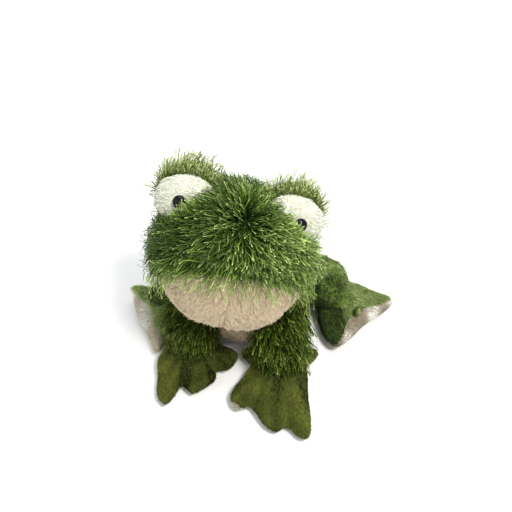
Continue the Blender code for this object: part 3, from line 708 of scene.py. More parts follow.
for s in "lr":
    ob = pile("shag_head_" + s, "skin_head_top_" + s, 12600, head_length, 0.42,
              (lambda p: 40 + 32 * bump(np.linalg.norm(to_head(p) - WHORL, axis=1), 18), lambda p: 2 + 38 *
               bump(np.linalg.norm(to_head(p) - WHORL, axis=1), 18)), head_comb,
              MAT["shag"], 11 + (s == "r"), 6, 0.20, (4, 0.34), 24, 0.40, keep=clear_of_eyes,
              push=lambda p: off_eyes(p, 1.8), stop=in_eyes,
              tone=head_tone, flat_side=0.6, taper=0.8, knob=0.35, lift_spread=15, length_spread=0.22,
              weight=lambda p: 0.75 + 0.9 * smooth(10, -30, to_head(p)[:, 1]))
    settle(ob, "head")

# a sparse fringe that hangs from the snout's edge over the chin
ob = pile("shag_fringe", ["skin_head_top_l", "skin_head_top_r"], 520, 21, 0.46, (48, -6), head_comb, MAT["shag"],
          21, 6, 0.62, (0, 0), 30, 0.50, tone=lambda p, r: r.uniform(0.2, 0.95, len(p)),
          weight=lambda p: bump((to_head(p) - MOUTH_AT) @ MOUTH_UP - 3.0, 3.5) * smooth(5, -20, to_head(p)[:, 1]),
          flat_side=0.6, length_spread=0.25, taper=0.85, knob=0.3)
settle(ob, "head")


def chin_comb(p, n):
    q = to_head(p)
    way = np.stack([np.sign(q[:, 0]) * (0.25 + np.abs(q[:, 0]) / 60), np.full(len(q), 0.35),
                    np.full(len(q), -1.0)], 1)
    way[:, 0] += 0.7 * lumps(p, 14, 4)
    way[:, 2] += 0.4 * lumps(p, 12, 6)
    return way @ HEAD_ROT.T


for s in "lr":
    ob = pile("plush_chin_" + s, "skin_chin_" + s, 15500, 6.2, 0.36, (22, 2), chin_comb, MAT["beige"],
              31 + (s == "r"), 3, 0.10, (22, 0.58), 10, 0.12, flat_side=1.1, lift_spread=6,
              tone=lambda p, r: 0.58 + 0.12 * lumps(p, 10, 7) + r.normal(0, 0.15, len(p)))
    settle(ob, "head")

# ------------------------------------------------------------------------ eyes
for s, sign in (("l", 1.0), ("r", -1.0)):
    centre = EYE_AT[s]
    look = LOOK[s]

    def bulge(d, centre=centre, look=look, s=s):
        p = d * EYE_R
        seam = p @ EYE_FRONT
        dent = 1.0 * bump(seam, 1.6)
        ring = np.linalg.norm(p - look * EYE_R, axis=1)
        dent = dent + 0.9 * bump(ring - 4.2, 2.4)
        puff = 0.35 * lumps(p + centre, 8.0, 9)
        return centre + p + d * (puff - dent)[:, None]

    def buried(p):
        q = np.abs(p) / HEAD_R
        return (q ** 2.2).sum(1) < 0.86

    for part, side, mat, slot in (("eye_hood_", -1.0, "hood_base", "shag"), ("eye_white_", 1.0, "ivory_base", "ivory")):
        ob = skin("skin_" + part + s, bulge, 5, [(centre, EYE_FRONT * -side)], MAT[mat], centre, buried, 2.0)
        co, tri, nrm = GROUND[ob.name]
        GROUND[ob.name] = (from_head(co), tri, nrm @ HEAD_ROT.T)
        ob.data.transform(Matrix.Translation(Vector(HEAD_AT * MM)) @ HEAD_TURN.to_4x4())
        stands = [part + s] + (["eye_stuffing_" + s] if side > 0 else [])
        settle(ob, "head", stands)

    def clear_of_head(p):
        return head_form(p, 0.5) > 1.0

    def hood_comb(p, n, s=s):
        back = -(EYE_FRONT @ HEAD_ROT.T)
        way = unit(p - EYE_WORLD[s]) * 0.2 + back * 0.5 + np.array([0.30, 0.0, 0.75])
        return way

    def hood_length(p, s=s):
        v = to_head(p) - EYE_AT[s]
        return (3.0 if s == "l" else 3.8) + 1.5 * smooth(2, 16, v[:, 2])

    # The hood's pile leans light, and its long tips are all light: partly the hood's paler yarn, partly painted light
    # where light shines through the thin strands at the edge.
    ob = pile("shag_hood_" + s, "skin_eye_hood_" + s, 2500, hood_length, 0.54, (56, 34), hood_comb, MAT["shag_hood"],
              41 + (s == "r"), 4, 0.03, (4, 0.35), 30, 0.36, keep=clear_of_head, flat_side=0.7,
              tone=lambda p, r: np.where(r.random(len(p)) < 0.55, r.uniform(0.5, 1.0, len(p)), r.uniform(0.15, 0.6, len(p))),
              lift_spread=16, length_spread=0.25, taper=0.8, knob=0.3)
    settle(ob, "head")
    ob = pile("shag_hood_tips_" + s, "skin_eye_hood_" + s, 520 if s == "l" else 680, lambda p, f=hood_length: 5.0 + f(p) * 1.3,
              0.46, (74, 40), hood_comb, MAT["shag_hood"], 45 + (s == "r"), 6, 0.03, (6, 0.74), 38, 0.5,
              keep=clear_of_head, flat_side=0.7,
              tone=lambda p, r: r.uniform(0.5, 1.0, len(p)), lift_spread=16, length_spread=0.28, taper=0.85, knob=0.4)
    settle(ob, "head")

    def white_comb(p, n, s=s, sign=sign):
        v = to_head(p) - EYE_AT[s]
        way = np.stack([v[:, 0] + sign * 6, v[:, 1] * 0.2, v[:, 2] * 0.6 - 4], 1)
        return way @ HEAD_ROT.T

    bead_at = from_head(centre + look * EYE_R)
    ob = pile("plush_eye_" + s, "skin_eye_white_" + s, 6800, 3.0, 0.42, (28, 6), white_comb, MAT["ivory"],
              51 + (s == "r"), 2, 0.1, (5, 0.35), 26, 0.0, flat_side=1.0,
              keep=lambda p, a=bead_at: clear_of_head(p) & (np.linalg.norm(p - a, axis=1) > 5.6),
              tone=lambda p, r: 0.55 + 0.2 * lumps(p, 7, 3) + r.normal(0, 0.2, len(p)))
    settle(ob, "head")

    def edge_comb(p, n, s=s, sign=sign):
        v = to_head(p) - EYE_AT[s]
        way = np.stack([np.full(len(p), sign * 1.0), v[:, 1] * 0.01, v[:, 2] * 0.03 - 0.15], 1)
        return way @ HEAD_ROT.T

    ob = pile("plush_eye_edge_" + s, "skin_eye_white_" + s, 900, 6.5, 0.42, (30, 6), edge_comb, MAT["ivory"],
              55 + (s == "r"), 3, 0.1, (16, 0.85), 12, 0.1, flat_side=0.8,
              keep=lambda p, s=s, sign=sign: clear_of_head(p) & ((to_head(p) - EYE_AT[s])[:, 0] * sign > 10),
              tone=lambda p, r: r.uniform(0.5, 1.0, len(p)))
    settle(ob, "head")

    # glossy eye: a low dome with a fine edge, on its stem
    profile = [(0.0, EYE_R + 0.45 + 3.4)]
    profile += [(4.9 * math.sin(a), EYE_R + 0.45 + 3.4 * math.cos(a)) for a in np.linspace(0.08, math.pi / 2, 14)]
    profile += [(4.82, EYE_R + 0.25), (4.5, EYE_R + 0.12), (1.5, EYE_R + 0.12), (1.5, EYE_R - 7.05), (0.0, EYE_R - 7.05)]
    turn = Vector((0, 0, 1)).rotation_difference(Vector(look)).to_matrix()
    steps = 48
    pts, faces = [], []
    for r, z in profile:
        if r == 0.0:
            pts.append((0, 0, z))
        else:
            pts += [(r * math.cos(6.283185307 * k / steps), r * math.sin(6.283185307 * k / steps), z) for k in range(steps)]
    rows = [[0]] + [[1 + i * steps + k for k in range(steps)] for i in range(len(profile) - 2)] + [[len(pts) - 1]]
    for a, b in zip(rows, rows[1:]):
        for k in range(steps):
            j = (k + 1) % steps
            if len(a) == 1:
                faces.append((a[0], b[k], b[j]))
            elif len(b) == 1:
                faces.append((a[k], b[0], a[j]))
            else:
                faces.append((a[k], b[k], b[j], a[j]))
    local = np.array(pts) @ np.array(turn).T + centre
    bead = write_mesh("eye_bead_fine_" + s, from_head(local), faces, MAT["bead"])
    settle(bead, "head", ["eye_bead_" + s])
    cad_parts["eye_washer_" + s].data.materials.clear()
    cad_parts["eye_washer_" + s].data.materials.append(MAT["washer"])

# pile of the snout that stands up in front of each black eye and hides its lower inner half
SEEN_AZ, SEEN_EL = math.radians(12.0), math.radians(47.0)
TO_EYE = np.array([math.sin(SEEN_AZ) * math.cos(SEEN_EL), -math.cos(SEEN_AZ) * math.cos(SEEN_EL), math.sin(SEEN_EL)])
SIDE = np.array([math.cos(SEEN_AZ), math.sin(SEEN_AZ), 0.0])
OVER = np.cross(TO_EYE, SIDE)
for s, inward, reach in (("l", (-0.82, -0.57), 1.6), ("r", (0.58, -0.81), 2.6)):
    rng = np.random.default_rng(57 + (s == "r"))
    mid = EYE_WORLD[s]
    bead = from_head(EYE_AT[s] + LOOK[s] * (EYE_R + 2.0))
    sets = [GROUND["skin_head_top_l"], GROUND["skin_head_top_r"]]
    ground = (np.concatenate([g[0] for g in sets]), np.concatenate([sets[0][1], sets[1][1] + len(sets[0][0])]),
              np.concatenate([g[2] for g in sets]))
    root, normal = scatter(ground, 24000, rng)
    inward = np.array(inward)
    across = np.array([-inward[1], inward[0]])
    flat = np.stack([(root - bead) @ SIDE, (root - bead) @ OVER], 1)
    along, over = flat @ inward, flat @ across
    ok = ((along > 4) & (along < 17) & (np.abs(over) < 13) & (normal @ TO_EYE > 0.2)
          & (np.linalg.norm(root - mid, axis=1) > EYE_R + 0.6) & (np.linalg.norm(root - bead, axis=1) < 24))
    root, normal, over = root[ok][:340], normal[ok][:340], over[ok][:340]
    n = len(root)
    tip2 = (inward * (reach + 0.10 * np.abs(over) + rng.normal(0, 1.4, n))[:, None]
            + across * (over * 0.85 + rng.normal(0, 1.3, n))[:, None])
    off = np.stack([(bead - mid) @ SIDE + tip2[:, 0], (bead - mid) @ OVER + tip2[:, 1]], 1)
    shell = EYE_R + 1.3 + 3.6 * bump(np.linalg.norm(tip2, axis=1), 7.0) + rng.uniform(0, 1.6, n)
    depth = np.sqrt(np.maximum(shell ** 2 - (off ** 2).sum(1), (0.35 * shell) ** 2))
    tip = mid + off[:, :1] * SIDE + off[:, 1:] * OVER + depth[:, None] * TO_EYE
    far = np.linalg.norm(tip - root, axis=1, keepdims=True)
    bend = root + unit(normal + 0.5 * TO_EYE) * far * 0.55
    sway = unit(np.cross(normal, tip - root))
    phase = rng.random(n) * 6.283
    pts = np.empty((n, 7, 3))
    for k in range(7):
        u = k / 6
        pts[:, k] = root * (1 - u) ** 2 + bend * 2 * u * (1 - u) + tip * u * u
        pts[:, k] += sway * (0.9 * u * np.sin(phase + 5 * u))[:, None]
        if k:
            pts[:, k] = off_eyes(pts[:, k], 0.8)
    ob = write_strands("shag_eye_fringe_" + s, pts, normal, 0.50, lambda: np.where(
        rng.random(n) < 0.45, rng.uniform(0.55, 1.0, n), rng.uniform(0.05, 0.5, n)), rng, MAT["shag"], 0.6, 0.8, 0.35)
    settle(ob, "head")

# -------------------------------------------------------------------------- body
NECK_PATH = [(31.0 * math.sin(a), 54.0 + 31.0 * math.cos(a)) for a in np.radians(np.linspace(38, 112, 16))]
FLANK = [(36.5, 33.0), (42.3, 25.5), (44.0, 18.5), (43.0, 11.0), (40.0, 5.5), (37.2, 2.2)]


def catmull(points, n):
    pts = np.array(points, float)
    pts = np.concatenate([2 * pts[:1] - pts[1:2], pts, 2 * pts[-1:] - pts[-2:-1]])
    out = []
    for i in range(1, len(pts) - 2):
        p0, p1, p2, p3 = pts[i - 1:i + 3]
        for t in np.linspace(0, 1, n, endpoint=False):
            out.append(0.5 * (2 * p1 + (p2 - p0) * t + (2 * p0 - 5 * p1 + 4 * p2 - p3) * t * t
                              + (3 * p1 - p0 - 3 * p2 + p3) * t ** 3))
    out.append(pts[-2])
    return np.array(out)


BODY_PATH = np.concatenate([np.array(NECK_PATH), catmull(FLANK, 6)])


def body_skin(name, planes, material, segs=120):
    bm = bmesh.new()
    rows = []
    for r, z in BODY_PATH:
        row = []
        for k in range(segs):
            a = 2 * math.pi * (k + 0.5) / segs
            row.append((r * math.cos(a), -10.0 * float(smooth(0, 40, z)) + r * math.sin(a), z))
        rows.append(row)
    flat = np.array(rows).reshape(-1, 3)
    axis = np.stack([np.zeros(len(flat)), -10.0 * smooth(0, 40, flat[:, 2]), flat[:, 2]], 1)
    out = unit(flat - axis)
    seam = 0.0
    for at, normal in ((np.array([0, 6.0, 0]), unit([1 / 0.62, 1.0, 0])), (np.array([0, 6.0, 0]), unit([-1 / 0.62, 1.0, 0]))):
        seam = seam + bump((flat - at) @ normal, 2.2) * (flat[:, 1] < 2)
    seam = seam + bump(flat[:, 0], 2.0) * (flat[:, 1] > 0)
    soft = (0.8 * lumps(flat, 16, 12) + 0.4 * lumps(flat, 7, 13)) * smooth(2, 9, flat[:, 2])
    folds = 0.9 * np.sin(np.arctan2(flat[:, 1], flat[:, 0]) * 17) * bump(flat[:, 2] - 44, 7)
    fine = flat + out * (soft + folds - 1.1 * seam - 0.5)[:, None]
    grid = [[bm.verts.new(fine[i * segs + k]) for k in range(segs)] for i in range(len(BODY_PATH))]
    for up, down in zip(grid, grid[1:]):
        for k in range(segs):
            j = (k + 1) % segs
            bm.faces.new((up[k], down[k], down[j], up[j]))
    for at, normal in planes:
        bmesh.ops.bisect_plane(bm, geom=bm.verts[:] + bm.edges[:] + bm.faces[:], dist=1e-5,
                               plane_co=Vector(at), plane_no=Vector(normal), clear_outer=True)
    return finish_skin(name, bm, material, 2.5, lambda p: np.array([0, -5.0, min(max(p[2], 6.0), 50.0)]) - p)


wedge_l, wedge_r = unit([1 / 0.62, 1.0, 0]), unit([-1 / 0.62, 1.0, 0])
edge = (0, 6.0, 0)
belly = body_skin("skin_belly", [(edge, wedge_l), (edge, wedge_r)], MAT["beige_base"])
settle(belly, "body", ["belly_panel"])
# the two back panels: each is what lies outside the belly's wedge, on its side
for s, sign, plane in (("l", 1.0, wedge_l), ("r", -1.0, wedge_r)):
    ob = body_skin("skin_back_" + s, [((0, 0, 0), (-sign, 0, 0)), (edge, -plane)], MAT["shag_base"])
    stands = ["back_panel_" + s] + (["body_stuffing", "seat_pellet_bag"] if s == "l" else [])
    settle(ob, "body", stands)

# the seat: a flat round panel with a rolled edge
seat = []
for r, z in [(0.0, 0.0), (12, 0.0), (24, 0.0), (32, 0.0), (35.6, 0.05), (36.6, 0.5), (37.1, 1.3), (37.2, 2.3)]:
    seat.append((r, z))
pts, faces = [(0, 0, 0)], []
for r, z in seat[1:]:
    pts += [(r * math.cos(2 * math.pi * k / 96), r * math.sin(2 * math.pi * k / 96), z) for k in range(96)]
for k in range(96):
    faces.append((0, 1 + (k + 1) % 96, 1 + k))
for i in range(len(seat) - 2):
    for k in range(96):
        a, b = 1 + i * 96, 1 + (i + 1) * 96
        faces.append((a + k, a + (k + 1) % 96, b + (k + 1) % 96, b + k))
base = write_mesh("skin_seat", pts, faces, MAT["shag_base"])
settle(base, "body", ["base_panel"])
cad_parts["neck_seam_thread"].data.materials.clear()
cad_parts["neck_seam_thread"].data.materials.append(MAT["thread"])


def in_capsule(p, a, b, r):
    ab = b - a
    t = np.clip(((p - a) @ ab) / (ab @ ab), 0, 1)
    return np.linalg.norm(p - a - t[:, None] * ab, axis=1) < r


def clear_of_limbs(p):
    ok = head_form(p, -1.0) > 1.0
    for s in "lr":
        ok &= ~in_capsule(p, SHOULDER[s], WRIST[s], 13.0)
        ok &= ~in_capsule(p, HIP[s], KNEE[s], 14.5)
    return ok


def back_comb(p, n):
    return np.stack([p[:, 0] * 0.012, (p[:, 1] + 5) * 0.006, np.full(len(p), -1.0)], 1)


for s in "lr":
    ob = pile("shag_back_" + s, "skin_back_" + s, 4800, 14.5, 0.64, (58, 20), back_comb, MAT["shag"], 61 + (s == "r"),
              6, 0.25, (5, 0.35), 24, 0.34, keep=lambda p: clear_of_limbs(p) & (p[:, 2] > 3.0), floor=1.0,
              tone=lambda p, r: np.where(r.random(len(p)) < 0.25, r.uniform(0.4, 0.95, len(p)), r.uniform(0, 0.4, len(p))),
              flat_side=0.6, taper=0.8, knob=0.3)
    settle(ob, "body")
ob = pile("plush_belly", "skin_belly", 5200, 4.4, 0.45, (46, 15), lambda p, n: np.stack([p[:, 0] * 0.01, np.zeros(len(p)),
          np.full(len(p), -1.0)], 1), MAT["beige"], 66, 2, 0.1, (8, 0.7), 18, keep=lambda p: clear_of_limbs(p) & (p[:, 2] > 1.5),
          tone=lambda p, r: 0.4 + 0.25 * lumps(p, 8, 7) + r.normal(0, 0.2, len(p)), floor=0.8)
settle(ob, "body")


# ------------------------------------------------------------------ tubes of cloth
def tube(name, path, radii, material, segs=56, wrinkle=None, ends=(True, True), seed=0, up=(0, 0, 1), puff=None):
    """A stuffed tube along a smooth line, closed by a rounded end where asked."""
    line = catmull(path, 10)
    rad = np.interp(np.linspace(0, len(path) - 1, len(line)), np.arange(len(path)), radii)
    tang = unit(np.gradient(line, axis=0))
    rows, side = [], unit(np.cross(tang[0], np.array(up, float)))
    rings = []
    if ends[0]:
        for k in range(8, 0, -1):
            a = k / 8 * math.pi / 2
            rings.append((line[0] - tang[0] * rad[0] * math.sin(a) * 0.98, tang[0], max(rad[0] * math.cos(a), 0.05)))
    rings += [(line[i], tang[i], rad[i]) for i in range(len(line))]
    if ends[1]:
        for k in range(1, 9):
            a = k / 8 * math.pi / 2
            rings.append((line[-1] + tang[-1] * rad[-1] * math.sin(a) * 0.98, tang[-1], max(rad[-1] * math.cos(a), 0.05)))
    for at, t, r in rings:
        side = unit(side - (side @ t) * t)
        other = np.cross(t, side)
        a = 2 * np.pi * np.arange(segs) / segs
        rows.append(at + r * (np.cos(a)[:, None] * side + np.sin(a)[:, None] * other))
    pts = np.concatenate(rows)
    mid = np.repeat(np.array([r[0] for r in rings]), segs, axis=0)
    out = unit(pts - mid)
    grow = 0.8 * lumps(pts, 13, seed + 20) + 0.4 * lumps(pts, 6, seed + 21)
    if wrinkle is not None:
        grow = grow + wrinkle(pts)
    pts = pts + out * grow[:, None]
    if puff is not None:
        shell = [(i * segs + k, i * segs + (k + 1) % segs, (i + 1) * segs + (k + 1) % segs, (i + 1) * segs + k)
                 for i in range(len(rings) - 1) for k in range(segs)]
        shell += [list(range(segs))[::-1], [(len(rings) - 1) * segs + k for k in range(segs)]]
        pts = pts + stuffed(name, pts, shell, *puff)(pts)
    pts[:, 2] = np.maximum(pts[:, 2], 0.5)
    bm = bmesh.new()
    grid = [[bm.verts.new(pts[i * segs + k]) for k in range(segs)] for i in range(len(rings))]
    for a, b in zip(grid, grid[1:]):
        for k in range(segs):
            j = (k + 1) % segs
            bm.faces.new((a[k], a[j], b[j], b[k]))
    for row, flip in ((grid[0], False), (grid[-1], True)):
        bm.faces.new(row[::-1] if not flip else row)
    bmesh.ops.recalc_face_normals(bm, faces=bm.faces[:])
    if bm.calc_volume(signed=True) < 0:
        bmesh.ops.reverse_faces(bm, faces=bm.faces[:])
    return finish_skin(name, bm, material, 0, None)


def outline_radius(points, centre):
    pts = np.array(points, float) - np.array(centre, float)
    fine = []
    for i in range(len(pts)):
        p0, p1, p2, p3 = (pts[(i + k) % len(pts)] for k in (-1, 0, 1, 2))
        for t in np.linspace(0, 1, 14, endpoint=False):
            fine.append(0.5 * ((2 * p1) + (p2 - p0) * t + (2 * p0 - 5 * p1 + 4 * p2 - p3) * t * t
                               + (3 * p1 - p0 - 3 * p2 + p3) * t ** 3))
    fine = np.array(fine)
    ang, rad = np.arctan2(fine[:, 1], fine[:, 0]), np.hypot(fine[:, 0], fine[:, 1])
    order = np.argsort(ang)
    ang, rad = ang[order], rad[order]
    ang = np.concatenate([ang - 2 * np.pi, ang, ang + 2 * np.pi])
    rad = np.concatenate([rad, rad, rad])
    soft = lambda a: sum(np.interp(a + d, ang, rad) * w for d, w in ((-0.03, 0.25), (0.0, 0.5), (0.03, 0.25)))
    return soft


def paw_grid(outline, centre, half, lift, seam_at, relief, top, steps=180, rows=26):
    """Top or sole of a stuffed hand or foot, from the seam to the middle of its face."""
    radius = outline_radius(outline, centre)
    a = 2 * np.pi * np.arange(steps) / steps
    r0 = radius(a)
    seam = np.arcsin(np.clip(seam_at(a), -0.97, 0.97))
    pole = math.pi / 2 if top else -math.pi / 2
    pts = []
    for k in range(rows):
        t = k / (rows - 1) * 0.985
        lat = seam + (pole - seam) * t
        ring, up = np.cos(lat), np.sin(lat)
        r = r0 * np.power(ring, 0.77)
        x, y = centre[0] + r * np.cos(a), centre[1] + r * np.sin(a)
        z = half + half * np.sign(up) * np.power(np.abs(up), 0.77)
        p = np.stack([x, y, z], 1)
        p[:, 2] += lift(x, y)
        if top:
            p[:, 2] += relief(p) * smooth(0.0, 0.25, t)
        p[:, 2] -= (0.9 if top else -0.6) * bump(k, 1.6) * (1 if top else 0)
        inward = unit(np.stack([np.cos(a), np.sin(a), np.zeros(steps)], 1))
        p -= inward * 0.8 * bump(k, 1.5)
        pts.append(p)
    pts = np.array(pts)
    pts[:, :, 2] += 0.35 * lumps(pts.reshape(-1, 3), 6, 33).reshape(rows, steps) * (1 if top else 0)
    return pts


def paw(name, grids, centre, half, mats, cap=1.3):
    """The two faces of a hand or foot, stuffed together as one cover, then made as two pieces."""
    upper, lower = grids
    rows, steps = upper.shape[:2]
    both = np.concatenate([upper.reshape(-1, 3), lower[1:].reshape(-1, 3), [upper[-1].mean(0), lower[-1].mean(0)]])
    faces, last = [], rows * steps
    for k in range(steps):
        j = (k + 1) % steps
        for i in range(rows - 1):
            faces.append((i * steps + k, i * steps + j, (i + 1) * steps + j, (i + 1) * steps + k))
            at = last + (i - 1) * steps if i else 0
            faces.append((at + j, at + k, last + i * steps + k, last + i * steps + j))
        faces.append(((rows - 1) * steps + k, (rows - 1) * steps + j, len(both) - 2))
        faces.append((last + (rows - 2) * steps + j, last + (rows - 2) * steps + k, len(both) - 1))
    move = stuffed(name, both, faces, 3.0, cap, 0.6, 4.0, 0.3)
    return [paw_face("skin_" + name.replace("_", "_top_" if top else "_sole_"), pts + move(pts), centre, half, top, mat)
            for pts, top, mat in ((upper, True, mats[0]), (lower, False, mats[1]))]


def paw_face(name, pts, centre, half, top, material):
    rows, steps = pts.shape[:2]
    bm = bmesh.new()
    pts[:, :, 2] = np.maximum(pts[:, :, 2], 0.25)
    grid = [[bm.verts.new(p) for p in row] for row in pts]
    last = bm.verts.new(pts[-1].mean(0))
    for one, two in zip(grid, grid[1:]):
        for k in range(steps):
            j = (k + 1) % steps
            bm.faces.new((one[k], one[j], two[j], two[k]) if top else (one[k], two[k], two[j], one[j]))
    for k in range(steps):
        j = (k + 1) % steps
        bm.faces.new((grid[-1][k], grid[-1][j], last) if top else (grid[-1][k], last, grid[-1][j]))
    mid = np.array([centre[0], centre[1], half])
    return finish_skin(name, bm, material, 1.6, lambda p: mid - p)


def creases(lines, depth, width):
    """Soft valleys along straight lines in plan, deepest at their outer end."""
    def relief(p):
        out = np.zeros(len(p))
        for (x0, y0), (x1, y1), k in lines:
            a, b = np.array([x0, y0], float), np.array([x1, y1], float)
            ab = b - a
            q = p[:, :2] - a
            t = np.clip((q @ ab) / (ab @ ab), 0, 1)
            gap = np.linalg.norm(q - t[:, None] * ab, axis=1)
            out -= depth * k * (1 - t) ** 0.8 * bump(gap, width)
        return out
    return relief


# ------------------------------------------------------------------------- limbs
HAND_CREASES = {"l": [((58, -113), (52, -88), 1.0), ((26, -103), (36, -86), 1.0), ((66, -60), (56, -66), 0.8),
                      ((17, -66), (28, -70), 0.8)],
                "r": [((-29, -95), (-26, -82), 0.5), ((-6, -78), (-16, -76), 1.0), ((-44, -108), (-38, -92), 0.2)]}
FOOT_CREASES = {"l": [((108, 2), (97, 4), 1.3), ((96, -16), (86, -8), 1.2), ((104, -12), (92, -2), 0.5)],
                "r": [((-88, -28), (-78, -26), 1.0), ((-74, -46), (-68, -38), 1.0)]}


def seam_flat(level, spots=()):
    def at(a):
        out = np.full(len(a), float(level))
        for angle, wide, more in spots:
            gap = (a - math.radians(angle) + np.pi) % (2 * np.pi) - np.pi
            out = out + more * bump(gap, math.radians(wide))
        return out
    return at


HAND_SEAM = {"l": seam_flat(-0.25, [(-132, 9, 0.55)]), "r": seam_flat(-0.25)}


def seam_inside(outline, centre, widths):
    """Seam height from how far inside the outline the sole's cloth is turned up, by direction."""
    radius = outline_radius(outline, centre)
    at, mm = np.array(widths, float).T

    def level(a):
        deg = np.degrees((a + np.pi) % (2 * np.pi) - np.pi)
        d = np.interp(deg, at, mm, period=360)
        ring = np.clip(1 - d / radius(a), 0.16, 1) ** (1 / 0.77)
        return np.sqrt(np.maximum(1 - ring ** 2, 0.0)) + 0.04
    return level


FOOT_SEAM = {"l": seam_inside(FOOT_OUTLINE["l"], FOOT_MID["l"],
                              [(-115, 0), (-95, 0), (-89, 1), (-86, 4.5), (-83, 10), (-76, 12), (-62, 10.5), (-45, 7.5),
                               (-38, 6.5), (-28, 7.5), (-19, 7.5), (-8, 8.5), (2, 10.5), (11, 12.5), (17, 10), (22, 5), (27, 1),
                               (32, 0)]),
             "r": seam_inside(FOOT_OUTLINE["r"], FOOT_MID["r"],
                              [(140, 0), (152, 1), (160, 4), (168, 8.5), (175, 12), (-172, 12), (-150, 12), (-130, 12),
                               (-107, 13), (-95, 12.5), (-85, 12.5), (-78, 15), (-72, 15), (-68, 10), (-64, 3), (-58, 0)])}

